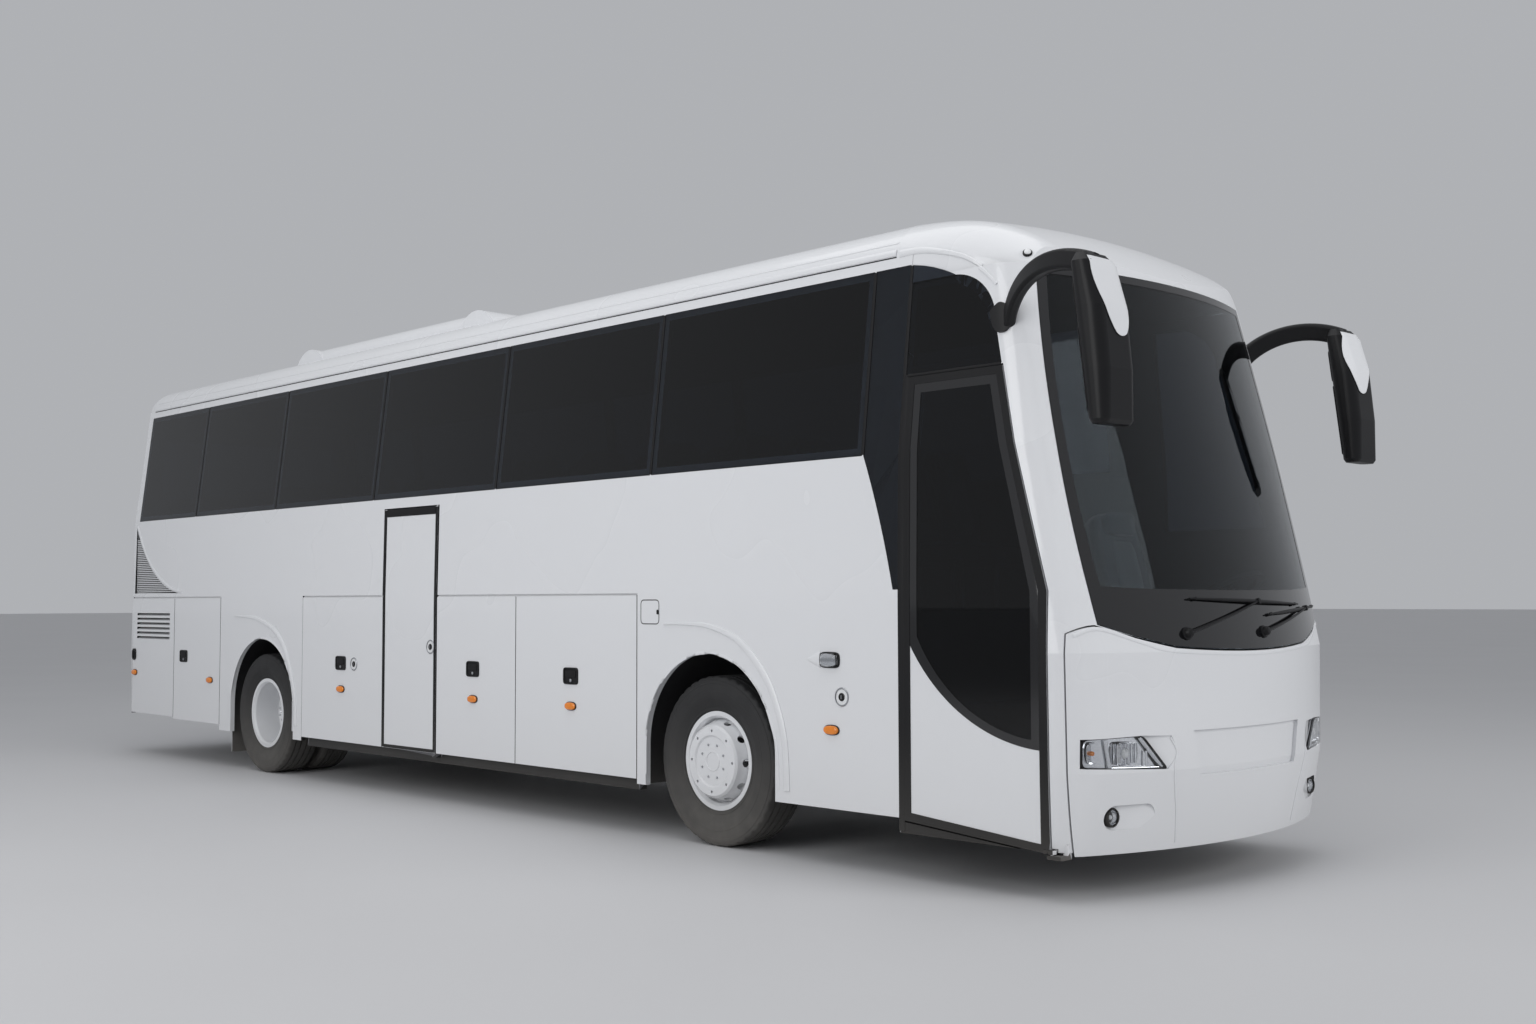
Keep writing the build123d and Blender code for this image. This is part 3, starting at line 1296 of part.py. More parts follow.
# Mirrors on bowed arms: side, root, top of the bow, tip
MIRRORS = (
    (RIGHT, (5235, -1150, 2960), (5640, -1390, 3170), (6000, -1480, 3110)),
    (LEFT, (5235, 1150, 2960), (5520, 1390, 3160), (5760, 1480, 3110)),
)
ARM_WIDTH = 60
ARM_HEIGHT = 105
# Sections of a mirror head: height below the tip, lead ahead of the tip, depth, width, corner radius
HEAD_SECTIONS = (
    (-45, -12, 60, 190, 24),
    (0, 0, 110, 262, 44),
    (220, 45, 150, 280, 60),
    (520, 78, 142, 280, 60),
    (760, 92, 110, 262, 46),
    (780, 92, 84, 236, 34),
)
with BuildPart() as mirrors:
    for side, root, crest, tip in MIRRORS:
        with BuildLine() as bow:
            ThreePointArc(root, crest, tip)
        start = bow.line % 0
        level = start.cross(Vector(0, 0, 1)).normalized()
        with BuildSketch(Plane(origin=root, x_dir=level, z_dir=start)) as arm:
            RectangleRounded(ARM_WIDTH, ARM_HEIGHT, ARM_WIDTH / 3)
        sweep(arm.sketch, path=bow.line)
        x, y, z = tip
        heads = []
        for drop, lead, depth, width, corner in HEAD_SECTIONS:
            with BuildSketch(Plane(origin=(x + lead, y, z - drop))) as section:
                RectangleRounded(depth, width, corner)
            heads.append(section.sketch)
        loft(heads, ruled=True)
    add(front_outer, mode=Mode.SUBTRACT)
finish(mirrors, "mirrors")

# Wipers parked along the foot of the windscreen: pivot y, pivot z, tip y, tip z
WIPERS = ((-560, 1330, 100, 1480), (120, 1330, 780, 1450))


with BuildPart() as wipers:
    for y0, z0, y1, z1 in WIPERS:
        base = (front_x(y0, z0) - 2, y0, z0)
        rod(base, (base[0] + 40, y0, z0), 28)
        rod((base[0] + 28, y0, z0), (front_x(y1, z1) + 20, y1, z1), 9)
    add(front_outer, mode=Mode.SUBTRACT)
finish(wipers, "wipers")
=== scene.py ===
"""Finishes and fittings of a touring coach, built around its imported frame. Metres, +X forward, +Z up."""

from math import atan2, cos, pi, radians, sin, tau

import bmesh
import bpy
from bpy.props import FloatProperty, FloatVectorProperty, IntProperty, PointerProperty
from mathutils import Matrix, Vector
from mathutils.bvhtree import BVHTree


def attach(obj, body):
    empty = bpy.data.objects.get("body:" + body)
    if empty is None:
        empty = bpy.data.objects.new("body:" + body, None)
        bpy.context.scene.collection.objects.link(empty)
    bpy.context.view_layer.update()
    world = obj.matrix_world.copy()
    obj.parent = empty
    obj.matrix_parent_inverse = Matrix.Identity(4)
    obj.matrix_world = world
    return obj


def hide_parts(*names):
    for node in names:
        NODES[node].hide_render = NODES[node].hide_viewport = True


bl_info = {
    "name": "Touring coach",
    "version": (1, 0, 0),
    "blender": (4, 5, 0),
    "location": "3D View > Sidebar > Coach",
    "description": "Dresses the packed coach with its finishes, trim and fittings",
    "category": "Object",
}

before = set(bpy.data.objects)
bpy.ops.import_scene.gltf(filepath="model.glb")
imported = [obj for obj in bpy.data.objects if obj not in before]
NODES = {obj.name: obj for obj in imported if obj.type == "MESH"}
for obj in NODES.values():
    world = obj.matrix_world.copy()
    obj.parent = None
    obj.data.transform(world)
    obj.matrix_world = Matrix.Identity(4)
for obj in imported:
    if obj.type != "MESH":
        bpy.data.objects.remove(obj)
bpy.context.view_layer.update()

SEAM_Z = 1.55
BELT_Z = 2.315
GLASS_TOP_Z = 3.375
AXLE_Z = 0.522
FRONT_AXLE_X = 3.0
REAR_AXLE_X = -3.0
TYRE_CENTRE = 1.086
TWIN_SPACING = 0.34
DOOR_REAR_X = 4.595
DOOR_FRONT_X = 5.542
DOOR_TOP_Z = 2.732
FRAME_WIDTH = 0.045
PILLAR_SLOPE = 0.256
PANE_JOINTS = (-4.42, -2.797, -1.104, 0.633, 2.405, 4.28)
SIDES = (("right", -1), ("left", 1))
AHEAD = Vector((1, 0, 0))
LEFTWARD = Vector((0, 1, 0))
UP = Vector((0, 0, 1))


def colour_property(name, text, default):
    """Colour, from black to white."""
    return FloatVectorProperty(name=name, description=text, subtype="COLOR", min=0, max=1, default=default)


def length_property(name, text, default):
    """Length in metres."""
    return FloatProperty(name=name, description=text, subtype="DISTANCE", min=0, default=default)


def angle_property(name, text, degrees):
    """Angle, given in degrees."""
    return FloatProperty(name=name, description=text, subtype="ANGLE", default=radians(degrees))


def share_property(name, text, default):
    """Number from nothing to all."""
    return FloatProperty(name=name, description=text, subtype="FACTOR", min=0, max=1, default=default)


class CoachColours(bpy.types.PropertyGroup):
    """Colours of the coach's finishes."""

    paint: colour_property("Paint", "Gloss paint of the body panels", (0.80, 0.81, 0.83))
    wheel: colour_property("Wheel", "Paint of the wheels", (0.76, 0.77, 0.79))
    trim: colour_property("Trim", "Moulded plastic and rubber", (0.007, 0.007, 0.008))
    tint: colour_property("Window tint", "Glass of the side windows", (0.030, 0.038, 0.052))
    screen: colour_property("Screen tint", "Glass of the windscreen", (0.24, 0.28, 0.31))
    tyre: colour_property("Tyre", "Tyre rubber", (0.018, 0.018, 0.019))
    dust: colour_property("Dust", "Road dust on the low panels", (0.33, 0.31, 0.28))
    marker: colour_property("Marker", "Side marker lenses", (0.85, 0.24, 0.01))
    seat: colour_property("Seat", "Seat cloth", (0.045, 0.055, 0.085))


class CoachTrim(bpy.types.PropertyGroup):
    """Sizes of the trim and the small fittings."""

    seal_height: length_property("Seal height", "How far a seal stands off its panel", 0.004)
    ridge: length_property("Ridge width", "Pressed ridge over a wheel arch", 0.05)
    ridge_height: length_property("Ridge height", "How far a pressed ridge stands off its panel", 0.010)
    nuts: IntProperty(name="Wheel nuts", description="Nuts on each wheel", min=4, max=20, default=10)


class CoachStage(bpy.types.PropertyGroup):
    """Camera, floor and light."""

    camera: FloatVectorProperty(
        name="Camera",
        description="Place of the camera",
        subtype="TRANSLATION",
        default=(10.436, -7.833, 1.512),
    )
    yaw: angle_property("Yaw", "Turn of the view to the left", 46.497)
    pitch: angle_property("Pitch", "Tilt of the view upward", 3.119)
    roll: angle_property("Roll", "Roll of the camera", -0.162)
    lens: FloatProperty(name="Lens", description="Focal length", unit="CAMERA", min=10, default=37.64)
    floor: colour_property("Floor", "Plain pale floor", (0.62, 0.62, 0.63))
    backdrop: share_property("Backdrop", "Brightness of the backdrop", 0.5)
    sky: share_property("Sky", "Strength of the light from all round", 0.45)


# Meshes


class Shape:
    """Meshes gathered for one piece, each with the name of its finish."""

    def __init__(self):
        self.verts = []
        self.faces = []
        self.marks = []
        self.finishes = []

    def add(self, part, finish):
        """Take in the vertices and faces of one mesh."""
        verts, faces = part
        if finish not in self.finishes:
            self.finishes.append(finish)
        mark = self.finishes.index(finish)
        start = len(self.verts)
        self.verts += [tuple(v) for v in verts]
        self.faces += [tuple(start + i for i in face) for face in faces]
        self.marks += [mark] * len(faces)

    def piece(self, name, body, slot, stands_for=(), crease=35):
        """Make the object and let it ride on a body; the slot argument is not used."""
        mesh = bpy.data.meshes.new(name)
        mesh.from_pydata(self.verts, [], self.faces)
        mesh.polygons.foreach_set("material_index", self.marks)
        for finish in self.finishes:
            mesh.materials.append(FINISH[finish])
        tidy = bmesh.new()
        tidy.from_mesh(mesh)
        bmesh.ops.recalc_face_normals(tidy, faces=tidy.faces)
        tidy.to_mesh(mesh)
        tidy.free()
        mesh.shade_smooth()
        mesh.set_sharp_from_angle(angle=radians(crease))
        obj = bpy.data.objects.new(name, mesh)
        bpy.context.scene.collection.objects.link(obj)
        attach(obj, body)
        if stands_for:
            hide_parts(*stands_for)
        return obj


def rings(loops, closed=False, capped=True):
    """Skin over loops that hold the same number of points."""
    count = len(loops[0])
    verts = [point for loop in loops for point in loop]
    faces = []
    last = len(loops) if closed else len(loops) - 1
    for i in range(last):
        a, b = i * count, (i + 1) % len(loops) * count
        faces += [(a + k, a + (k + 1) % count, b + (k + 1) % count, b + k) for k in range(count)]
    if capped and not closed:
        faces += [tuple(range(count))[::-1], tuple((len(loops) - 1) * count + k for k in range(count))]
    return verts, faces


def lathe(profile, centre, axis, steps=48):
    """Turn pairs of offset along the axis and radius about a centre."""
    axis = Vector(axis).normalized()
    side = axis.orthogonal().normalized()
    up = axis.cross(side)
    loops = []
    for offset, radius in profile:
        middle = Vector(centre) + axis * offset
        radius = max(radius, 1e-4)
        turn = [tau * k / steps for k in range(steps)]
        loops.append([middle + (side * cos(t) + up * sin(t)) * radius for t in turn])
    return rings(loops)


def oval(centre, across, up, width, height, power=2.0, steps=32):
    """Loop of a rounded outline; a higher power is squarer."""
    points = []
    for k in range(steps):
        c, s = cos(tau * k / steps), sin(tau * k / steps)
        u = abs(c) ** (2 / power) * (1 if c >= 0 else -1)
        v = abs(s) ** (2 / power) * (1 if s >= 0 else -1)
        points.append(Vector(centre) + Vector(across) * (u * width / 2) + Vector(up) * (v * height / 2))
    return points


def pad(centre, across, up, size, depths, power=4.0, steps=32):
    """Raised pad: pairs of height off the panel and share of the outline."""
    across, up = Vector(across).normalized(), Vector(up).normalized()
    out = across.cross(up)
    loops = []
    for height, share in depths:
        middle = Vector(centre) + out * height
        loops.append(oval(middle, across, up, size[0] * share, size[1] * share, power, steps))
    return rings(loops)


def tube(path, radius, steps=12, flat=1.0):
    """Round bar along points; radius may be one value or one for each point."""
    path = [Vector(p) for p in path]
    radii = radius if isinstance(radius, (list, tuple)) else [radius] * len(path)
    loops = []
    side = None
    for i, point in enumerate(path):
        along = (path[min(i + 1, len(path) - 1)] - path[max(i - 1, 0)]).normalized()
        side = along.orthogonal() if side is None else side - along * side.dot(along)
        side.normalize()
        up = along.cross(side)
        turns = [tau * k / steps for k in range(steps)]
        loops.append([point + (side * cos(t) + up * sin(t) * flat) * radii[i] for t in turns])
    return rings(loops)


def arc(start, bend, end, steps):
    """Points of the circle through three points, without the last."""
    (ax, ay), (bx, by), (cx, cy) = start, bend, end
    a, b, c = start.length_squared, bend.length_squared, end.length_squared
    area = 2 * (ax * (by - cy) + bx * (cy - ay) + cx * (ay - by))
    x = (a * (by - cy) + b * (cy - ay) + c * (ay - by)) / area
    y = (a * (cx - bx) + b * (ax - cx) + c * (bx - ax)) / area
    first, middle, last = (atan2(p.y - y, p.x - x) for p in (start, bend, end))
    sweep = (last - first) % tau
    if (middle - first) % tau > sweep:
        sweep -= tau
    radius = (start - Vector((x, y))).length
    turns = [first + sweep * k / steps for k in range(steps)]
    return [Vector((x + radius * cos(t), y + radius * sin(t))) for t in turns]


def bent(path, arc_steps=10, line_steps=6):
    """Loop of points from steps: an end point, or a point on an arc with the arc's end."""
    points = []
    here = Vector(path[0])
    for step in list(path[1:]) + [path[0]]:
        if isinstance(step[0], tuple):
            bend, end = Vector(step[0]), Vector(step[1])
            points += arc(here, bend, end, arc_steps)
        else:
            end = Vector(step)
            if (end - here).length > 1e-6:
                points += [here.lerp(end, k / line_steps) for k in range(line_steps)]
        here = end
    return points


# How far the edge of laid trim goes under the skin
SINK = 0.001
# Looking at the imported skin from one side: two coordinates of the view give a ray to the skin
VIEWS = {
    "right": lambda u, v: (Vector((u, -3, v)), Vector((0, 1, 0))),
    "left": lambda u, v: (Vector((u, 3, v)), Vector((0, -1, 0))),
    "front": lambda u, v: (Vector((9, u, v)), Vector((-1, 0, 0))),
    "tail": lambda u, v: (Vector((-9, u, v)), Vector((1, 0, 0))),
    "top": lambda u, v: (Vector((u, v, 9)), Vector((0, 0, -1))),
}


class Skin:
    """Outer faces of some CAD nodes, seen from one side."""

    def __init__(self, view, *names):
        verts, faces = [], []
        for name in names:
            mesh = NODES[name].data
            start = len(verts)
            verts += [v.co.copy() for v in mesh.vertices]
            faces += [[start + i for i in p.vertices] for p in mesh.polygons]
        self.tree = BVHTree.FromPolygons(verts, faces)
        self.view = VIEWS[view]

    def spot(self, u, v):
        """Point and outward normal at a place of the view."""
        start, ray = self.view(u, v)
        point, normal, _, _ = self.tree.ray_cast(start, ray)
        if point is None:
            point, normal, _, _ = self.tree.find_nearest(start + ray * 1.7)
        if normal.dot(ray) > 0:
            normal = -normal
        return point, normal

    def at(self, u, v, lift=0.0):
        """Point lifted off the skin at a place of the view."""
        point, normal = self.spot(u, v)
        return point + normal * lift


class Sunk:
    """The same skin, moved back along the coach."""

    def __init__(self, skin, depth):
        self.skin = skin
        self.depth = depth

    def spot(self, u, v):
        """Point and outward normal at a place of the view."""
        point, normal = self.skin.spot(u, v)
        return point - AHEAD * self.depth, normal


def laid_ribbon(skin, path, width, height, closed=False, sink=0.002):
    """Rounded strip that follows a path over the skin; a width may change along it."""
    widths = width if isinstance(width, (list, tuple)) else [width] * len(path)
    spots = [skin.spot(*p) for p in path]
    loops = []
    count = len(spots)
    for i, (point, normal) in enumerate(spots):
        before = spots[(i - 1) % count if closed else max(i - 1, 0)][0]
        after = spots[(i + 1) % count if closed else min(i + 1, count - 1)][0]
        along = (after - before).normalized()
        side = normal.cross(along).normalized()
        half = widths[i] / 2
        section = ((-half, -sink), (-half, height * 0.45), (-half * 0.6, height))
        section += tuple((-a, b) for a, b in reversed(section))
        loops.append([point + side * a + normal * b for a, b in section])
    return rings(loops, closed=closed)


def laid_band(skin, outer, inner, lift, steps=1):
    """Thin band between two loops over the skin."""
    loops = []
    for k in range(steps + 1):
        t = k / steps
        loops.append([skin.at(*a.lerp(b, t), lift) for a, b in zip(outer, inner)])
    loops = [[skin.at(*p, -SINK) for p in outer]] + loops + [[skin.at(*p, -SINK) for p in inner]]
    return rings(loops, capped=False)


def smooth(points, steps=6):
    """Curve through points, as more points."""
    points = [Vector(p) for p in points]
    curve = []
    for i in range(len(points) - 1):
        before, after = points[max(i - 1, 0)], points[min(i + 2, len(points) - 1)]
        a, b = points[i], points[i + 1]
        for k in range(steps):
            t = k / steps
            pull = (b - before) * (t * (1 - t) ** 2 / 2) - (after - a) * (t * t * (1 - t) / 2)
            curve.append(a.lerp(b, t * t * (3 - 2 * t)) + pull)
    return curve + [points[-1]]


def rounded(corners, radius, steps=5):
    """Loop round corners that are each cut back by a radius."""
    points = []
    corners = [Vector(c) for c in corners]
    for i, corner in enumerate(corners):
        start = corner + (corners[i - 1] - corner).normalized() * radius
        end = corner + (corners[(i + 1) % len(corners)] - corner).normalized() * radius
        for k in range(steps + 1):
            t = k / steps
            points.append(start * (1 - t) ** 2 + corner * 2 * t * (1 - t) + end * t * t)
    return points


def laid_patch(skin, loop, lift, cell=0.12, depth=0.0):
    """Sheet that fills a loop over the skin; with a depth it is a closed shell."""
    sheet = bmesh.new()
    sheet.faces.new([sheet.verts.new((p[0], p[1], 0)) for p in loop])
    for axis in (0, 1):
        low, high = min(p[axis] for p in loop), max(p[axis] for p in loop)
        cuts = int((high - low) / cell)
        for k in range(1, cuts + 1):
            place = [0, 0, 0]
            place[axis] = low + (high - low) * k / (cuts + 1)
            facing = [0, 0, 0]
            facing[axis] = 1
            parts = sheet.verts[:] + sheet.edges[:] + sheet.faces[:]
            bmesh.ops.bisect_plane(sheet, geom=parts, plane_co=place, plane_no=facing)
    sheet.verts.index_update()
    spots = [skin.spot(v.co.x, v.co.y) for v in sheet.verts]
    low = lift - depth if depth else -SINK
    verts = [point + normal * level for level in (lift, low) for point, normal in spots]
    faces = [tuple(v.index for v in face.verts) for face in sheet.faces]
    count = len(spots)
    if depth:
        faces += [tuple(i + count for i in reversed(face)) for face in faces]
    for edge in sheet.edges:
        if len(edge.link_faces) == 1:
            a, b = (v.index for v in edge.verts)
            faces.append((a, b, b + count, a + count))
    used = {i for face in faces for i in face}
    renumber = {i: k for k, i in enumerate(sorted(used))}
    sheet.free()
    return [verts[i] for i in sorted(used)], [tuple(renumber[i] for i in face) for face in faces]


# Finishes

FINISH = {}
BUMP_DEPTH = 0.001
# Angle in degrees past which an edge of a CAD node is sharp
PANEL_CREASE = 28


def new_group(name, inputs, outputs):
    """Empty shader group with named sockets."""
    group = bpy.data.node_groups.new(name, "ShaderNodeTree")
    for socket, kind, default in inputs:
        made = group.interface.new_socket(name=socket, in_out="INPUT", socket_type=kind)
        made.default_value = default
    for socket, kind in outputs:
        group.interface.new_socket(name=socket, in_out="OUTPUT", socket_type=kind)
    return group, group.nodes.new("NodeGroupInput"), group.nodes.new("NodeGroupOutput")


def maths(tree, operation, *values):
    """Math node fed with sockets or numbers."""
    node = tree.nodes.new("ShaderNodeMath")
    node.operation = operation
    for socket, value in zip(node.inputs, values):
        if isinstance(value, (int, float)):
            socket.default_value = value
        else:
            tree.links.new(value, socket)
    return node.outputs[0]


def build_grain_group():
    """Fine surface grain as a height, with a slow cloudy mask."""
    group, given, result = new_group(
        "Surface grain",
        [("Grain scale", "NodeSocketFloat", 400.0), ("Cloud scale", "NodeSocketFloat", 1.5)],
        [("Height", "NodeSocketFloat"), ("Cloud", "NodeSocketFloat")],
    )
    place = group.nodes.new("ShaderNodeTexCoord")
    for scale, output, detail in (("Grain scale", "Height", 3.0), ("Cloud scale", "Cloud", 2.0)):
        noise = group.nodes.new("ShaderNodeTexNoise")
        noise.inputs["Detail"].default_value = detail
        group.links.new(place.outputs["Object"], noise.inputs["Vector"])
        group.links.new(given.outputs[scale], noise.inputs["Scale"])
        group.links.new(noise.outputs["Fac"], result.inputs[output])
    return group


def build_dust_group():
    """Road dust that thins out with height."""
    group, given, result = new_group(
        "Road dust",
        [
            ("Clear height", "NodeSocketFloat", 1.3),
            ("Amount", "NodeSocketFloat", 0.3),
            ("Cloud", "NodeSocketFloat", 0.5),
        ],
        [("Mask", "NodeSocketFloat")],
    )
    place = group.nodes.new("ShaderNodeTexCoord")
    split = group.nodes.new("ShaderNodeSeparateXYZ")
    group.links.new(place.outputs["Object"], split.inputs[0])
    share = maths(group, "DIVIDE", split.outputs["Z"], given.outputs["Clear height"])
    low = maths(group, "MAXIMUM", maths(group, "SUBTRACT", 1.0, share), 0.0)
    thick = maths(group, "MULTIPLY", maths(group, "POWER", low, 1.6), given.outputs["Amount"])
    patchy = maths(group, "MULTIPLY", thick, maths(group, "ADD", given.outputs["Cloud"], 0.35))
    group.links.new(maths(group, "MINIMUM", patchy, 0.9), result.inputs["Mask"])
    return group


def build_finish(name, colour, rough, grain, dust=None, shade=0.04, **sockets):
    """Principled finish with grain, slow colour change and road dust."""
    material = bpy.data.materials.new(name)
    material.use_nodes = True
    tree = material.node_tree
    shader = tree.nodes["Principled BSDF"]
    surface = tree.nodes.new("ShaderNodeGroup")
    surface.node_tree = bpy.data.node_groups["Surface grain"]
    surface.inputs["Grain scale"].default_value = grain[0]
    surface.inputs["Cloud scale"].default_value = grain[2] if len(grain) > 2 else 1.5
    tone = tree.nodes.new("ShaderNodeMix")
    tone.data_type = "RGBA"
    tone.inputs["A"].default_value = (*[c * (1 - shade) for c in colour], 1)
    tone.inputs["B"].default_value = (*[min(1, c * (1 + shade)) for c in colour], 1)
    tree.links.new(surface.outputs["Cloud"], tone.inputs["Factor"])
    colour_out = tone.outputs["Result"]
    rough_out = maths(tree, "MULTIPLY_ADD", surface.outputs["Cloud"], rough * 0.5, rough * 0.75)
    if dust:
        film = tree.nodes.new("ShaderNodeGroup")
        film.node_tree = bpy.data.node_groups["Road dust"]
        film.inputs["Clear height"].default_value = dust[0]
        film.inputs["Amount"].default_value = dust[1]
        tree.links.new(surface.outputs["Cloud"], film.inputs["Cloud"])
        over = tree.nodes.new("ShaderNodeMix")
        over.data_type = "RGBA"
        over.inputs["B"].default_value = (*bpy.context.scene.coach_colours.dust, 1)
        tree.links.new(film.outputs["Mask"], over.inputs["Factor"])
        tree.links.new(colour_out, over.inputs["A"])
        colour_out = over.outputs["Result"]
        rough_out = maths(tree, "ADD", rough_out, maths(tree, "MULTIPLY", film.outputs["Mask"], 0.5))
    tree.links.new(colour_out, shader.inputs["Base Color"])
    tree.links.new(rough_out, shader.inputs["Roughness"])
    bump = tree.nodes.new("ShaderNodeBump")
    bump.inputs["Strength"].default_value = grain[1]
    bump.inputs["Distance"].default_value = BUMP_DEPTH
    tree.links.new(surface.outputs["Height"], bump.inputs["Height"])
    tree.links.new(bump.outputs["Normal"], shader.inputs["Normal"])
    for socket, value in sockets.items():
        shader.inputs[socket.replace("_", " ")].default_value = value
    FINISH[name] = material
    return material


class COACH_OT_finishes(bpy.types.Operator):
    """Make the finishes and give every CAD node its own"""

    bl_idname = "coach.finishes"
    bl_label = "Finishes"

    def execute(self, context):
        colours = context.scene.coach_colours
        build_grain_group()
        build_dust_group()
        gloss = {"Coat_Weight": 0.6, "Coat_Roughness": 0.04}
        build_finish("body_paint", colours.paint, 0.28, (260, 0.03, 0.7), (1.5, 0.2), 0.006, **gloss)
        build_finish("wheel_paint", colours.wheel, 0.34, (300, 0.05, 14), (0.9, 0.35), 0.03, **gloss)
        dull = {"Specular_IOR_Level": 0.28}
        build_finish("trim_plastic", colours.trim, 0.42, (900, 0.12), (0.9, 0.25), 0.15, **dull)
        build_finish("seal_rubber", colours.trim, 0.6, (700, 0.1), (0.9, 0.2), 0.2, **dull)
        build_finish("glass_border", (0.006, 0.006, 0.007), 0.08, (200, 0.01), None, 0.1, **gloss)
        build_finish("tyre_rubber", colours.tyre, 0.72, (500, 0.25, 9), (0.9, 0.35), 0.25)
        build_finish("chassis_paint", (0.022, 0.022, 0.024), 0.55, (220, 0.2, 4), (0.9, 0.45), 0.2)
        build_finish("cast_metal", (0.06, 0.06, 0.065), 0.6, (150, 0.5, 6), (1.0, 0.5), 0.25, Metallic=0.6)
        build_finish("bright_metal", (0.72, 0.73, 0.75), 0.12, (300, 0.03, 8), None, 0.05, Metallic=1.0)
        build_finish("satin_metal", (0.45, 0.46, 0.48), 0.32, (400, 0.08, 20), None, 0.08, Metallic=1.0)
        glass = {"Transmission_Weight": 1.0, "IOR": 1.38}
        build_finish("side_glass", colours.tint, 0.012, (3, 0.02, 0.8), None, 0.25, **glass)
        build_finish("screen_glass", colours.screen, 0.008, (3, 0.02, 0.8), None, 0.04, **glass)
        build_finish("lamp_glass", (0.93, 0.94, 0.95), 0.01, (60, 0.03), None, 0.01, **glass)
        lens = {"Coat_Weight": 0.5, "Subsurface_Weight": 0.0}
        build_finish("marker_lens", colours.marker, 0.14, (160, 0.3, 25), None, 0.12, **lens)
        build_finish("red_lens", (0.42, 0.006, 0.008), 0.12, (160, 0.3, 25), None, 0.12, **lens)
        build_finish("seat_cloth", colours.seat, 0.88, (1400, 0.6, 30), None, 0.3, Sheen_Weight=0.3)
        build_finish("seat_accent", (0.16, 0.17, 0.19), 0.86, (1400, 0.6, 30), None, 0.25, Sheen_Weight=0.3)
        build_finish("floor_vinyl", (0.09, 0.09, 0.1), 0.55, (500, 0.2, 8), None, 0.15)
        build_finish("hold_lining", (0.17, 0.17, 0.18), 0.75, (900, 0.4, 5), None, 0.12)
        build_finish("cabin_lining", (0.11, 0.115, 0.125), 0.7, (900, 0.3, 5), None, 0.06)
        build_finish("frosted_lens", (0.82, 0.83, 0.84), 0.1, (160, 0.3, 25), None, 0.05, **lens)
        build_finish("dash_plastic", (0.035, 0.036, 0.04), 0.5, (1100, 0.3, 5), None, 0.12)
        build_finish("mirror_glass", (0.75, 0.77, 0.8), 0.02, (3, 0.01, 1), None, 0.02, Metallic=1.0)
        for node, obj in NODES.items():
            dress(node, obj.data)
        return {"FINISHED"}


def dress(node, mesh):
    """Give each face of a CAD node its finish."""
    mesh.materials.clear()
    worn, marks = [], []
    for face in mesh.polygons:
        name = face_finish(node, face.center, face.normal)
        if name not in worn:
            worn.append(name)
            mesh.materials.append(FINISH[name])
        marks.append(worn.index(name))
    mesh.polygons.foreach_set("material_index", marks)
    mesh.shade_smooth()
    mesh.set_sharp_from_angle(angle=radians(PANEL_CREASE))


SIDE_PANELS = ("side_wall", "hold_flap", "engine_flap", "radiator_flap", "mid_door", "skirt")
NOSE_PANELS = ("front_mask", "front_frame", "front_door")
TAIL_PANELS = ("rear_wall", "engine_lid")
TOP_PANELS = ("roof", "front_cap")
ARCH_SEAMS = (-3.813, -2.235, 2.294, 4.56)
# Middles that the panels of the nose, the tail and the top face away from
NOSE_MIDDLE_X, TAIL_MIDDLE_X, TOP_MIDDLE_Z = 4.3, -5.0, 3.0
# Where a panel changes its finish: foot of the sills, outside of the door strip, back of the skirts
# and foot of the front frame
SILL_Z, STRIP_Y, SKIRT_BACK_Y, FRAME_FOOT_Z = 0.34, -1.2755, 1.233, 0.238
# Least share of a face's normal that counts as facing in or out
FACING = 0.3


def outward(node, place):
    """Direction out of the body at a place of a skin panel."""
    if node.startswith(SIDE_PANELS):
        return Vector((0, place.y, 0)).normalized()
    if node in NOSE_PANELS:
        return Vector((place.x - NOSE_MIDDLE_X, place.y, 0)).normalized()
    if node in TAIL_PANELS:
        return Vector((place.x - TAIL_MIDDLE_X, place.y, 0)).normalized()
    ahead = place.x - NOSE_MIDDLE_X if node == "front_cap" else 0
    return Vector((ahead, place.y, place.z - TOP_MIDDLE_Z)).normalized()


def face_finish(node, place, normal):
    """Finish of one face: paint outside, lining inside, and dark edges in the seams."""
    if node == "hold_box" and place.z < SILL_Z:
        return "trim_plastic"
    if not (node.startswith(SIDE_PANELS) or node in NOSE_PANELS + TAIL_PANELS + TOP_PANELS):
        return finish_of(node)
    if node in ("front_frame", "front_door") and place.y < STRIP_Y:
        return "trim_plastic"
    if node == "front_frame" and place.y < -1.0 and place.x < 5.55 and place.z < SILL_Z:
        return "seal_rubber"
    facing = normal.dot(outward(node, place))
    below = node == "front_frame" and place.z < FRAME_FOOT_Z
    if below or node.startswith("skirt") and abs(place.y) < SKIRT_BACK_Y:
        return "chassis_paint"
    if facing > FACING:
        return "body_paint"
    if facing < -FACING:
        return "hold_lining" if "flap" in node else "cabin_lining"
    if node == "front_mask" and normal.x > -0.5 or node == "roof" and normal.x < -0.5:
        return "body_paint"
    if node.startswith("radiator") and abs(normal.z) > 0.5 and 1.12 < place.z < 1.44:
        return "body_paint"
    if node.startswith("skirt") and min(abs(place.x - seam) for seam in ARCH_SEAMS) > 0.004:
        return "body_paint"
    return "seal_rubber"


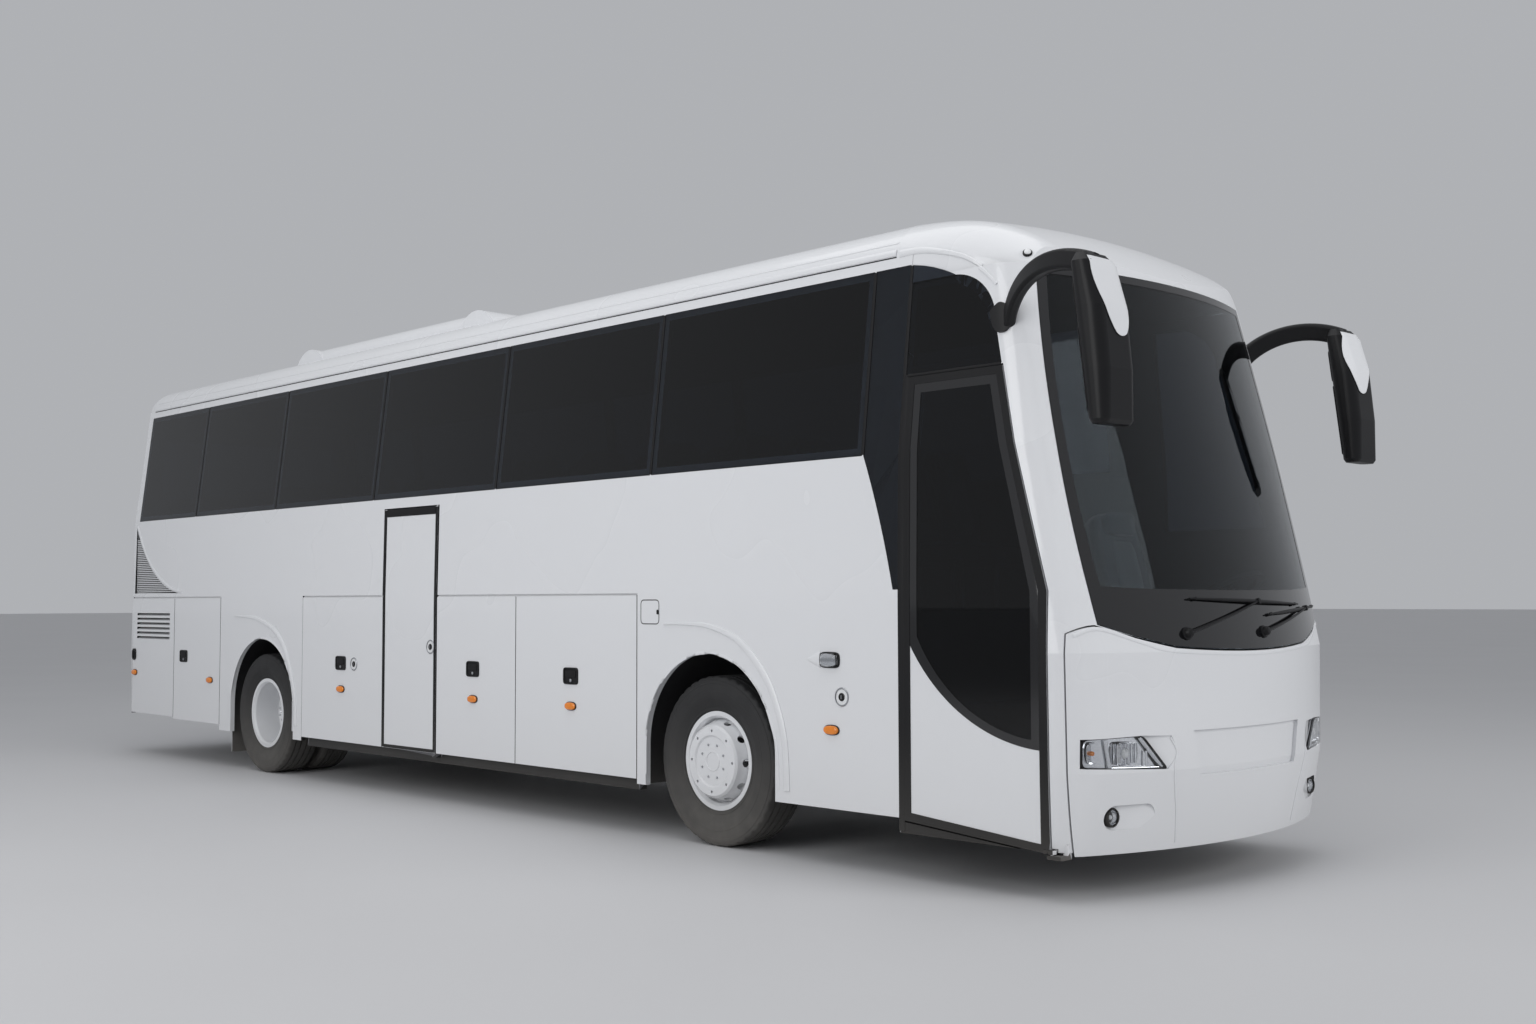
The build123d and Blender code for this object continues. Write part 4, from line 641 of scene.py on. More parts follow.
def finish_of(node):
    """Name of the finish that a CAD node wears."""
    exact = {
        "windscreen": "screen_glass",
        "cab_glass": "side_glass",
        "front_lamps": "bright_metal",
        "rear_lamps": "red_lens",
        "mirrors": "trim_plastic",
        "wipers": "trim_plastic",
        "chassis_frame": "chassis_paint",
        "cabin_floor": "floor_vinyl",
        "hold_box": "hold_lining",
        "dashboard": "dash_plastic",
        "steering_wheel": "dash_plastic",
    }
    ends = {"glass": "side_glass", "tyre": "tyre_rubber", "wheel": "wheel_paint", "seat": "seat_cloth"}
    casts = ("engine", "front_axle", "rear_axle", "tie_rod", "knuckle_right", "knuckle_left")
    if node in exact:
        return exact[node]
    if node in casts:
        return "cast_metal"
    for word, name in ends.items():
        if word in node:
            return name
    return "body_paint"


# Glazing

SCREEN_EDGE = [
    (-1.102, 1.384),
    ((-0.85, 1.312), (-0.65, 1.27)),
    ((0, 1.245), (0.65, 1.27)),
    ((0.85, 1.312), (1.102, 1.384)),
    ((1.127, 2.0), (1.007, 3.276)),
    (-1.007, 3.276),
    ((-1.127, 2.0), (-1.102, 1.384)),
]
SCREEN_CLEAR = [
    (-1.045, 1.575),
    ((-0.85, 1.565), (-0.65, 1.56)),
    ((0, 1.555), (0.65, 1.56)),
    ((0.85, 1.565), (1.045, 1.575)),
    ((1.068, 2.0), (0.955, 3.235)),
    (-0.955, 3.235),
    ((-1.068, 2.0), (-1.045, 1.575)),
]
# Pane that carries the line of the side windows on over the cab glass, and the plane of that glass
CAB_BROW = [
    (4.569, 3.262), (4.895, 3.262), (4.86, 3.281), (4.80, 3.307),
    (4.72, 3.336), (4.65, 3.355), (4.569, 3.371),
]
CAB_GLASS_Y, CAB_GLASS_Z, CAB_GLASS_LEAN = 1.152, 3.27, 0.1149
# Outer and inner face of the pane, as depths behind that plane
CAB_BROW_FACES = (-0.003, 0.024)
# Rear edge, front edge, foot and top of the middle door
MID_DOOR = (-0.907, -0.126, 0.362, 2.23)
HEADER_Z = 2.745
BROW_TOP_Z = 3.368
# Strips round the front door and on the left post: both ends and the steps between them
REAR_JAMB = ((4.5735, 0.26), (4.5735, HEADER_Z), 32)
UPPER_JAMB = ((4.5615, HEADER_Z), (4.5615, BROW_TOP_Z), 38)
DOOR_HEADER = ((4.586, 2.7405), (5.232, 2.7405), 40)
LEFT_POST = ((4.578, 1.905), (4.578, BROW_TOP_Z), 48)
# How far the black print on glass reaches in, and stands off it
PRINT_WIDTH = 0.05
PRINT_LIFT = 0.002
# Bare rim of the door's leaf outside its rubber frame
LEAF_RIM = 0.0008


def leaf_edge(inset):
    """Outline of the front door, moved inward."""
    rear, front, top = DOOR_REAR_X + inset, DOOR_FRONT_X - inset, DOOR_TOP_Z - inset
    pillar = front - (top - SEAM_Z) * PILLAR_SLOPE
    return [(rear, 0.318 + inset), (front, 0.243 + inset), (front, SEAM_Z), (pillar, top), (rear, top)]


def leaf_glass(inset):
    """Outline of the front door's glass, moved inward."""
    edge = FRAME_WIDTH + inset
    rear, front, top = DOOR_REAR_X + edge, DOOR_FRONT_X - edge, DOOR_TOP_Z - edge
    pillar = front - (top - SEAM_Z) * PILLAR_SLOPE
    sill = ((4.97 + inset * 0.7, 0.924 + inset * 0.7), (front, 0.752 + inset))
    return [(rear, 1.262 + inset), sill, (front, SEAM_Z), (pillar, top), (rear, top)]


def line(start, end, steps=12):
    """Points along a straight path."""
    return [Vector(start).lerp(Vector(end), k / steps) for k in range(steps + 1)]


class COACH_OT_glazing(bpy.types.Operator):
    """Printed borders of the glass, the door frames and the joints between panes"""

    bl_idname = "coach.glazing"
    bl_label = "Glazing"

    def execute(self, context):
        trim = context.scene.coach_trim
        border = Shape()
        outer, inner = bent(SCREEN_EDGE, 24, 24), bent(SCREEN_CLEAR, 24, 24)
        border.add(laid_band(Skin("front", "windscreen"), outer, inner, 0.0015, 6), "glass_border")
        border.piece("windscreen_border", "coach", "trim_black")
        self.front_door(trim)
        self.mid_door(trim)
        for side, sign in SIDES:
            self.cab_brow(side, sign)
            self.pane_joints(side, trim)
        return {"FINISHED"}

    def front_door(self, trim):
        """Rubber frame and printed border of the leaf, and the strips around its opening."""
        door = Shape()
        leaf = Skin("right", "front_door", "front_door_glass")
        outer, inner = bent(leaf_edge(LEAF_RIM), 10, 24), bent(leaf_edge(FRAME_WIDTH), 10, 24)
        door.add(laid_band(leaf, outer, inner, trim.seal_height, 2), "seal_rubber")
        outer, inner = bent(leaf_glass(0.0), 24, 24), bent(leaf_glass(PRINT_WIDTH), 24, 24)
        door.add(laid_band(leaf, outer, inner, PRINT_LIFT, 3), "glass_border")
        door.piece("front_door_frame", "front_door", "trim_black")
        jamb = Shape()
        post = Skin("right", "front_frame", "side_wall_right", "skirt_right")
        over = ("front_frame", "side_wall_right", "side_glass_right", "cab_glass", "front_door", "front_cap")
        header = Skin("right", *over)
        for skin, strip, width, height in (
            (post, REAR_JAMB, 0.041, trim.seal_height),
            (header, UPPER_JAMB, 0.024, trim.seal_height),
            (header, DOOR_HEADER, 0.015, 0.006),
        ):
            jamb.add(laid_ribbon(skin, line(*strip), width, height), "seal_rubber")
        jamb.piece("front_door_jamb", "coach", "trim_black")

    def cab_brow(self, side, sign):
        """Flat pane over the cab glass."""
        brow = Shape()
        loops = []
        for depth in CAB_BROW_FACES:
            leans = [CAB_GLASS_Y + (CAB_GLASS_Z - z) * CAB_GLASS_LEAN - depth for _, z in CAB_BROW]
            loops.append([(x, sign * y, z) for (x, z), y in zip(CAB_BROW, leans)])
        brow.add(rings(loops), "side_glass")
        brow.piece("cab_glass_brow_" + side, "coach", "glass_dark")

    def pane_joints(self, side, trim):
        """Strips between the side panes, and on the left over the post before the cab glass."""
        joints = Shape()
        panes = Skin(side, "side_glass_" + side)
        foot, rise = BELT_Z + 0.006, GLASS_TOP_Z - BELT_Z - 0.012
        edges = ((-0.006, -SINK), (-0.006, PRINT_LIFT), (0.016, PRINT_LIFT), (0.016, -SINK))
        for x in PANE_JOINTS:
            levels = [foot + rise * k / 16 for k in range(17)]
            loops = [[panes.at(x + u, z, lift) for u, lift in edges] for z in levels]
            joints.add(rings(loops), "trim_plastic")
        if side == "left":
            post = Skin(side, "front_frame", "side_wall_left", "side_glass_left", "cab_glass", "front_cap")
            joints.add(laid_ribbon(post, line(*LEFT_POST), 0.052, trim.seal_height), "seal_rubber")
        joints.piece("pane_joints_" + side, "coach", "trim_black")

    def mid_door(self, trim):
        """Black strips down the edges of the middle door, and its lock."""
        shape = Shape()
        leaf = Skin("right", "mid_door")
        rear, front, foot, top = MID_DOOR
        for path, width in (
            (line((rear + 0.018, foot + 0.004), (rear + 0.018, top - 0.004)), 0.035),
            (line((front - 0.016, foot + 0.004), (front - 0.016, top - 0.004)), 0.03),
            (line((rear + 0.036, top - 0.03), (front - 0.032, top - 0.03)), 0.06),
            (line((rear + 0.036, foot + 0.014), (front - 0.032, foot + 0.014)), 0.024),
        ):
            shape.add(laid_ribbon(leaf, path, width, trim.seal_height), "seal_rubber")
        add_fitting(shape, "lock", leaf.at(-0.2, 1.16), "right")
        shape.piece("mid_door_strips", "mid_door", "trim_black")


# Ridges pressed in the panels

FRONT_BROW = [
    (2.563, 1.359), (2.80, 1.362), (3.023, 1.344), (3.277, 1.257),
    (3.496, 1.06), (3.606, 0.865), (3.664, 0.664), (3.68, 0.40),
]
REAR_BROW = [
    (-3.522, 1.376), (-3.30, 1.372), (-3.065, 1.352), (-2.756, 1.258),
    (-2.547, 1.088), (-2.393, 0.792), (-2.352, 0.623), (-2.34, 0.45),
]
ARCH_RADIUS = 0.606
ARCH_FOOT_Z = 0.40
# Ends of the ribs along the roof's edge; then height, width, rise and finish of each
ROOF_ENDS = (-5.7, 4.435)
ROOF_RIBS = (
    (3.462, 0.04, 0.008, "body_paint"),
    (3.522, 0.012, 0.003, "body_paint"),
    # The last row is no rib: it is a dark strip at the joint of roof and wall, painted shadow of the gap
    # there
    (3.4365, 0.007, 0.0015, "seal_rubber"),
)
DOME_RIB = [(4.46, 3.452), (4.60, 3.45), (4.72, 3.428), (4.92, 3.365), (5.07, 3.265), (5.17, 3.175)]
DOME_LAMP = (-1.02, 3.345)
MASK_CREASE = [(0.688, 0.806), (0.652, 0.735), (0.668, 0.655), (0.648, 0.55), (0.614, 0.42), (0.588, 0.262)]
MASK_HALF = [(0.65, 1.244), (0.85, 1.286), (1.10, 1.36), (1.21, 1.327)]
MASK_TOP = [(-y, z) for y, z in reversed(MASK_HALF)] + [(0, 1.219)] + MASK_HALF


class COACH_OT_ridges(bpy.types.Operator):
    """Ridges over the arches, ribs along the roof and creases of the front"""

    bl_idname = "coach.ridges"
    bl_label = "Ridges"

    def execute(self, context):
        for side, _ in SIDES:
            self.arches(side, context.scene.coach_trim)
            self.roof(side)
        self.dome_lamp()
        front = Shape()
        mask = Skin("front", "front_mask")
        for sign in (-1, 1):
            path = [(sign * y, z) for y, z in smooth(MASK_CREASE, 6)]
            front.add(laid_ribbon(mask, path, 0.014, 0.004), "body_paint")
        front.add(laid_ribbon(mask, smooth(MASK_TOP, 8), 0.02, 0.004), "body_paint")
        front.piece("mask_creases", "coach", "paint_white")
        return {"FINISHED"}

    def arches(self, side, trim):
        """Brow and lip of each arch."""
        shape = Shape()
        panel = Skin(side, "skirt_" + side)
        for brow, axle in ((FRONT_BROW, FRONT_AXLE_X), (REAR_BROW, REAR_AXLE_X)):
            path = smooth(brow, 6)
            widths = [trim.ridge * min(1, 0.2 + 1.6 * k / len(path)) for k in range(len(path))]
            shape.add(laid_ribbon(panel, path, widths, trim.ridge_height), "body_paint")
            turn = [pi * k / 48 for k in range(49)]
            lip = [(axle + ARCH_RADIUS * cos(t), AXLE_Z + ARCH_RADIUS * sin(t)) for t in turn]
            lip = [(axle + ARCH_RADIUS, ARCH_FOOT_Z)] + lip + [(axle - ARCH_RADIUS, ARCH_FOOT_Z)]
            shape.add(laid_ribbon(panel, lip, 0.018, 0.004), "body_paint")
        shape.piece("arch_ridges_" + side, "coach", "paint_white")

    def roof(self, side):
        """Ribs along the roof's edge, a dark strip of painted shadow at the roof's joint with the wall, and
        the one that falls over the dome.
        """
        ribs = Shape()
        roof = Skin(side, "roof", "side_wall_" + side)
        for z, width, height, finish in ROOF_RIBS:
            path = line((ROOF_ENDS[0], z), (ROOF_ENDS[1], z), 60)
            ribs.add(laid_ribbon(roof, path, width, height), finish)
        path = smooth(DOME_RIB, 6)
        widths = [0.042 - 0.026 * k / len(path) for k in range(len(path))]
        dome = Skin(side, "front_cap", "front_frame")
        ribs.add(laid_ribbon(dome, path, widths, 0.008), "body_paint")
        ribs.piece("roof_ribs_" + side, "coach", "paint_white")

    def dome_lamp(self):
        """Small round lamp on the dome."""
        lamp = Shape()
        place, out = Skin("front", "front_cap", "front_frame").spot(*DOME_LAMP)
        base = [(-0.003, 0.026), (0.006, 0.026), (0.010, 0.022)]
        lens = [(0.006, 0.020), (0.014, 0.018), (0.018, 0.010), (0.019, 0.002)]
        lamp.add(lathe(base, place, out, 24), "trim_plastic")
        lamp.add(lathe(lens, place, out, 24), "frosted_lens")
        lamp.piece("dome_lamp", "coach", "lamp_clear")


# Fittings on the sides

RIGHT_FLAPS = {
    "radiator_flap_right": (("latch", -5.77, 0.98), ("marker", -5.754, 0.80)),
    "engine_flap_right": (("handle", -4.60, 0.988), ("marker", -4.021, 0.779)),
    "hold_flap_right_1": (("handle", -1.568, 1.002), ("marker", -1.563, 0.79), ("lock", -1.355, 0.999)),
    "hold_flap_right_2": (("handle", 0.382, 1.01), ("marker", 0.385, 0.791)),
    "hold_flap_right_3": (("handle", 1.58, 0.998), ("marker", 1.581, 0.795)),
    "skirt_right": (
        ("marker", 4.047, 0.773),
        ("lock", 4.127, 0.962),
        ("repeater", 4.034, 1.168),
        ("filler", 2.50, 1.434),
    ),
}
LEFT_FLAPS = {
    "radiator_flap_left": (("latch", -5.77, 0.98), ("marker", -5.754, 0.80)),
    "engine_flap_left": (("handle", -4.60, 0.988), ("marker", -4.021, 0.779)),
    "hold_flap_left_1": (("handle", -1.48, 1.002), ("marker", -1.48, 0.79)),
    "hold_flap_left_2": (("handle", 0.035, 1.002), ("marker", 0.035, 0.79)),
    "hold_flap_left_3": (("handle", 1.54, 1.002), ("marker", 1.54, 0.79)),
    "skirt_left": (("marker", 4.047, 0.773), ("lock", 4.127, 0.962), ("repeater", 4.034, 1.168)),
}
ACROSS = {"right": Vector((1, 0, 0)), "left": Vector((-1, 0, 0))}
GRILLE_EDGE = ((-4.69, 1.59), (-5.34, 1.79), (-5.79, 2.255))
GRILLE_REAR_X = -5.782
# Slats of the grille: how many, height of the first, pitch, rear end and least place of the front end
SLATS, SLAT_FOOT_Z, SLAT_PITCH, SLAT_REAR_X, SLAT_LEAST_X = 34, 1.606, 0.0185, -5.784, -5.76
# Fairing of a repeater: start behind the lamp's middle, length, half height and rise
FAIRING_START, FAIRING_LENGTH, FAIRING_HALF, FAIRING_RISE = 0.075, 0.115, 0.046, 0.012
FILLER_FLAP = [(2.331, 1.358), (2.513, 1.358), (2.513, 1.511), (2.331, 1.511)]
# Raised pads that make up a fitting: rise of the centre, size, squareness, points round it and finish;
# then pairs of height off the panel and share of the outline
FITTINGS = {
    "handle": (
        (0, (0.165, 0.115), 7, 32, "trim_plastic"),
        ((-0.002, 1), (0.005, 1), (0.009, 0.96), (0.009, 0.86), (0.002, 0.82)),
        (0.014, (0.118, 0.052), 6, 32, "seal_rubber"),
        ((0.001, 1), (0.006, 1), (0.009, 0.9), (0.010, 0.6)),
        (-0.030, (0.022, 0.022), 2, 32, "satin_metal"),
        ((0.001, 1), (0.007, 1), (0.009, 0.7)),
    ),
    "marker": (
        (0, (0.122, 0.060), 2.4, 32, "trim_plastic"),
        ((-0.002, 1), (0.005, 1), (0.006, 0.97)),
        (0, (0.112, 0.050), 2.4, 32, "marker_lens"),
        ((0.003, 1), (0.013, 1), (0.018, 0.9), (0.021, 0.6), (0.022, 0.2)),
    ),
    "lock": (
        (0, (0.108, 0.108), 2, 32, "satin_metal"),
        ((-0.002, 1), (0.003, 1), (0.006, 0.95), (0.006, 0.87), (0.001, 0.83)),
        (0, (0.088, 0.088), 2, 32, "frosted_lens"),
        ((-0.001, 1), (0.0015, 1), (0.0015, 0.5)),
        (0, (0.046, 0.046), 2, 32, "trim_plastic"),
        ((0.0, 1), (0.005, 1), (0.007, 0.85), (0.007, 0.3)),
        (0, (0.006, 0.024), 6, 12, "satin_metal"),
        ((0.006, 1), (0.0078, 1)),
    ),
    "latch": (
        (0, (0.085, 0.115), 3, 32, "trim_plastic"),
        ((-0.002, 1), (0.008, 1), (0.013, 0.92), (0.013, 0.7), (0.007, 0.64)),
        (0, (0.02, 0.075), 4, 32, "seal_rubber"),
        ((0.004, 1), (0.016, 0.96), (0.020, 0.8)),
    ),
    "repeater": (
        (0, (0.158, 0.092), 4, 32, "trim_plastic"),
        ((-0.002, 1), (0.006, 1), (0.010, 0.96), (0.010, 0.88)),
        (0, (0.125, 0.066), 4, 32, "bright_metal"),
        ((0.008, 1), (0.011, 0.98), (0.012, 0.5)),
        (0, (0.136, 0.074), 4, 32, "lamp_glass"),
        ((0.0122, 1), (0.020, 0.98), (0.026, 0.88), (0.029, 0.55), (0.030, 0.15)),
    ),
    "filler": (
        (0, (0.018, 0.03), 4, 32, "trim_plastic"),
        ((-0.001, 1), (0.003, 1), (0.004, 0.8)),
    ),
}


def add_fitting(shape, kind, place, side):
    """Handle, marker, lock, latch or lamp on a side panel."""
    rows = FITTINGS[kind]
    for (rise, size, power, steps, finish), depths in zip(rows[::2], rows[1::2]):
        shape.add(pad(place + UP * rise, ACROSS[side], UP, size, depths, power, steps), finish)


def add_fairing(shape, place, side):
    """Tapered fairing behind a side repeater."""
    out = ACROSS[side].cross(UP)
    loops = []
    for k in range(9):
        t = k / 8
        half, rise = FAIRING_HALF * (1 - t) + 0.003, FAIRING_RISE * (1 - t) + 0.001
        middle = place + Vector((-FAIRING_START - FAIRING_LENGTH * t, 0, 0))
        section = [(half * cos(pi * j / 8), rise * sin(pi * j / 8)) for j in range(9)]
        loops.append([middle + UP * a + out * (b - 0.001) for a, b in section])
    shape.add(rings(loops), "body_paint")


class COACH_OT_fittings(bpy.types.Operator):
    """Handles, markers, locks and repeaters along both sides, and the intake slats"""

    bl_idname = "coach.fittings"
    bl_label = "Side fittings"

    def execute(self, context):
        for side, flaps in (("right", RIGHT_FLAPS), ("left", LEFT_FLAPS)):
            for node, fittings in flaps.items():
                shape = Shape()
                panel = Skin(side, node)
                for kind, x, z in fittings:
                    if kind == "filler":
                        seam = rounded(FILLER_FLAP, 0.03)
                        shape.add(laid_ribbon(panel, seam, 0.006, 0.0012, closed=True), "seal_rubber")
                    add_fitting(shape, kind, panel.at(x, z), side)
                    if kind == "repeater":
                        add_fairing(shape, panel.at(x, z), side)
                body = "coach" if node.startswith("skirt") else node
                shape.piece("fittings_" + node, body, "trim_black")
            self.grille(side)
        return {"FINISHED"}

    def grille(self, side):
        """Slats of the air intake beside the last window."""
        shape = Shape()
        wall = Skin(side, "side_wall_" + side)
        edge = arc(*[Vector(p) for p in GRILLE_EDGE], 48) + [Vector(GRILLE_EDGE[2])]
        floor = [p + Vector((-0.012, -0.004)) for p in edge[2:-1]]
        floor = [Vector((GRILLE_REAR_X, 1.598))] + floor + [Vector((GRILLE_REAR_X, 2.235))]
        shape.add(laid_patch(wall, floor, 0.0008, 0.3), "trim_plastic")
        for k in range(SLATS):
            z = SLAT_FOOT_Z + k * SLAT_PITCH
            ends = [p.x for p in edge if p.y >= z]
            if not ends or max(ends) - 0.03 < SLAT_LEAST_X:
                continue
            path = line((SLAT_REAR_X, z), (max(ends) - 0.016, z), 4)
            shape.add(laid_ribbon(wall, path, 0.0115, 0.007, sink=0.0), "body_paint")
        around = [p + Vector((0.018, 0.014)) for p in edge]
        shape.add(laid_ribbon(wall, around, 0.036, 0.006), "body_paint")
        shape.piece("intake_slats_" + side, "coach", "paint_white")


# Lamps of the front

HEADLAMP = [(0.872, 0.823), (1.195, 0.812), (1.195, 0.668), (0.712, 0.648)]
LAMP_DEPTH = 0.034
INDICATOR, REFLECTOR = (1.135, 0.742), (0.955, 0.735)
CUP = [(-0.016, 0.2), (-0.014, 0.55), (-0.004, 0.9), (0.004, 1.0), (0.004, 0.94), (-0.006, 0.8)]
# Bulbs: place, depth behind the lens and finish; then pairs of offset and radius
BULBS = (
    (INDICATOR, 0.02, "marker_lens"),
    ((-0.02, 0.012), (0.0, 0.0115), (0.006, 0.009), (0.009, 0.003)),
    (REFLECTOR, 0.022, "frosted_lens"),
    ((-0.02, 0.026), (-0.004, 0.026), (0.004, 0.018), (0.006, 0.003)),
)
# Bright strips: both ends and the radius
LAMP_STRIPS = (
    ((1.078, 0.808), (1.052, 0.668), 0.009),
    ((0.880, 0.815), (0.742, 0.660), 0.011),
    ((1.045, 0.666), (0.762, 0.658), 0.007),
    ((0.838, 0.745), (0.838, 0.668), 0.006),
)
FOG_LAMP = (1.0, 0.416)
# Surround, bowl, bulb and lens: points round it and finish; then pairs of offset and radius
FOG_PARTS = (
    (48, "trim_plastic"),
    ((-0.03, 0.049), (0.003, 0.049), (0.008, 0.046), (0.008, 0.042), (-0.002, 0.040), (-0.02, 0.040)),
    (48, "bright_metal"),
    ((-0.03, 0.012), (-0.026, 0.024), (-0.014, 0.036), (-0.003, 0.0395), (-0.003, 0.0405), (-0.03, 0.041)),
    (24, "frosted_lens"),
    ((-0.03, 0.013), (-0.012, 0.012), (-0.008, 0.008), (-0.007, 0.002)),
    (48, "lamp_glass"),
    ((0.006, 0.001), (0.005, 0.02), (0.001, 0.0395), (-0.002, 0.0395), (0.002, 0.02), (0.003, 0.001)),
)


def shrink(loop, share):
    """Loop drawn in towards its middle."""
    middle = sum((Vector(p) for p in loop), Vector((0, 0))) / len(loop)
    return [middle.lerp(Vector(p), share) for p in loop]


class COACH_OT_lamps(bpy.types.Operator):
    """Headlamps with their reflectors, and the fog lamps"""

    bl_idname = "coach.lamps"
    bl_label = "Front lamps"

    def execute(self, context):
        for side, sign in SIDES:
            glass = Skin("front", "front_lamps")
            self.headlamp(side, sign, glass)
            self.fog_lamp(side, sign, glass)
        return {"FINISHED"}

    def headlamp(self, side, sign, skin):
        """Lens over a bowl with an indicator, a main reflector and bright strips."""
        shape = Shape()
        chrome, black = "bright_metal", "trim_plastic"
        loop = rounded([(sign * y, z) for y, z in HEADLAMP], 0.028)
        shape.add(laid_band(skin, shrink(loop, 0.995), shrink(loop, 0.955), 0.002, 2), black)

        def inside(y, z, depth):
            """Point at a depth behind the lens."""
            return skin.at(sign * y, z) - AHEAD * depth

        back = [skin.at(*p) - AHEAD * LAMP_DEPTH for p in shrink(loop, 0.93)]
        rim = [skin.at(*p) - AHEAD * 0.003 for p in shrink(loop, 0.985)]
        shape.add(rings([rim, back], capped=False), black)
        shape.add(laid_patch(Sunk(skin, LAMP_DEPTH), shrink(loop, 0.93), 0.0, 0.05), chrome)
        for place, size, power in ((INDICATOR, (0.095, 0.11), 3), (REFLECTOR, (0.155, 0.118), 6)):
            shape.add(pad(inside(*place, 0.026), LEFTWARD, UP, size, CUP, power), chrome)
        for k in range(7):
            y, z = REFLECTOR[0] - 0.066 + 0.022 * k, REFLECTOR[1]
            fin = [inside(y, z + 0.05 * t, 0.022 + 0.004 * abs(t)) for t in (-1, -0.5, 0, 0.5, 1)]
            shape.add(tube(fin, 0.0035, 6), chrome)
        for (place, depth, finish), bulb in zip(BULBS[::2], BULBS[1::2]):
            shape.add(lathe(bulb, inside(*place, depth), AHEAD), finish)
        for start, end, radius in LAMP_STRIPS:
            strip = [inside(*p, 0.016) for p in line(start, end, 6)]
            shape.add(tube(strip, radius, 10, 0.7), chrome)
        shape.piece("headlamp_" + side, "coach", "lamp_clear", ("front_lamps",))
        lens = Shape()
        lens.add(laid_patch(skin, shrink(loop, 0.96), 0.0012, 0.05, 0.003), "lamp_glass")
        lens.piece("headlamp_lens_" + side, "coach", "lamp_clear", ("front_lamps",))

    def fog_lamp(self, side, sign, skin):
        """Round lamp in its pocket."""
        shape = Shape()
        centre = skin.at(sign * FOG_LAMP[0], FOG_LAMP[1])
        for (steps, finish), profile in zip(FOG_PARTS[::2], FOG_PARTS[1::2]):
            shape.add(lathe(profile, centre, AHEAD, steps), finish)
        shape.piece("fog_lamp_" + side, "coach", "lamp_clear", ("front_lamps",))


# Mirrors and wipers

MIRROR_Y = 1.48
# Foot plate of the arm on the windscreen post
MIRROR_ROOT = [
    (5.14, 3.03), (5.165, 2.945), (5.20, 2.905), (5.25, 2.905),
    (5.285, 2.955), (5.275, 3.04), (5.20, 3.075),
]
# Foot, top and half width of the two glasses
MIRROR_PANES = ((2.385, 2.80, 0.112), (2.835, 3.02, 0.104))
WIPER_CAP = [(-0.002, 0.034), (0.010, 0.034), (0.014, 0.026), (0.030, 0.024), (0.038, 0.018), (0.040, 0.004)]
# Pivot, first and last end of the blade, and where along the blade the arm meets it
WIPERS = (
    ((-0.56, 1.33), (-0.50, 1.508), (0.66, 1.474), 0.517),
    ((0.12, 1.33), (0.20, 1.420), (1.02, 1.462), 0.707),
)


class COACH_OT_mirrors(bpy.types.Operator):
    """White covers, glasses and root brackets of the mirrors"""

    bl_idname = "coach.mirrors"
    bl_label = "Mirrors"

    def execute(self, context):
        front, tail = Skin("front", "mirrors"), Skin("tail", "mirrors")
        for side, sign in SIDES:
            shape = Shape()
            y = sign * MIRROR_Y
            lean = -sign * 0.03
            cover = [
                (y - 0.10, 3.128),
                (y + 0.10, 3.128),
                ((y + 0.112 + lean / 2, 2.93), (y + 0.045 + lean, 2.765)),
                ((y + lean, 2.748), (y - 0.045 + lean, 2.765)),
                ((y - 0.112 + lean / 2, 2.93), (y - 0.10, 3.128)),
            ]
            loop = bent(cover, 12, 10)
            shape.add(laid_patch(front, loop, 0.005, 0.03), "body_paint")
            shape.add(laid_ribbon(front, loop, 0.006, 0.003, closed=True), "seal_rubber")
            for foot, top, half in MIRROR_PANES:
                pane = rounded([(y - half, foot), (y + half, foot), (y + half, top), (y - half, top)], 0.03)
                shape.add(laid_patch(tail, pane, 0.002, 0.06), "mirror_glass")
                shape.add(laid_ribbon(tail, pane, 0.012, 0.005, closed=True), "seal_rubber")
            post = Skin(side, "front_frame", "cab_glass")
            shape.add(laid_patch(post, rounded(MIRROR_ROOT, 0.02), 0.012, 0.03), "trim_plastic")
            shape.piece("mirror_trim_" + side, "coach", "trim_black")
        return {"FINISHED"}


class COACH_OT_wipers(bpy.types.Operator):
    """Wiper arms with their blades"""

    bl_idname = "coach.wipers"
    bl_label = "Wipers"

    def execute(self, context):
        screen = Skin("front", "windscreen")
        black, rubber = "trim_plastic", "seal_rubber"
        for name, (pivot, first, last, share) in zip(("right", "left"), WIPERS):
            shape = Shape()
            joint = Vector(first).lerp(Vector(last), share)
            point, normal = screen.spot(*pivot)
            shape.add(lathe(WIPER_CAP, point, normal, 32), black)
            path = [screen.at(*p, 0.026) for p in line(pivot, joint, 16)]
            radii = [0.015 - 0.007 * k / 16 for k in range(17)]
            shape.add(tube(path, radii, 12, 0.6), black)
            blade = line(first, last, 24)
            radii = [0.004 + 0.007 * sin(pi * k / 24) for k in range(25)]
            shape.add(tube([screen.at(*p, 0.019) for p in blade], radii, 10), black)
            shape.add(tube([screen.at(*p, 0.007) for p in blade], 0.0055, 8, 0.5), rubber)
            for k in (1, 6, 12, 18, 23):
                spot, out = screen.spot(*blade[k])
                shape.add(tube([spot + out * 0.006, spot + out * 0.022], 0.009, 8), black)
            hinge, out = screen.spot(*joint)
            shape.add(lathe([(0.010, 0.016), (0.034, 0.016), (0.037, 0.012)], hinge, out, 24), black)
            shape.piece("wiper_" + name, "coach", "trim_black", ("wipers",))
        return {"FINISHED"}


# Wheels

SIDEWALL = (
    (0.096, 0.290), (0.110, 0.294), (0.117, 0.302), (0.119, 0.312), (0.1235, 0.314),
    (0.126, 0.326), (0.1245, 0.3285), (0.137, 0.352), (0.1435, 0.375), (0.1448, 0.377),
    (0.1475, 0.402), (0.1488, 0.425), (0.1472, 0.4275), (0.1474, 0.452), (0.1432, 0.472),
    (0.1445, 0.474), (0.1405, 0.492), (0.1375, 0.494), (0.1325, 0.508),
)
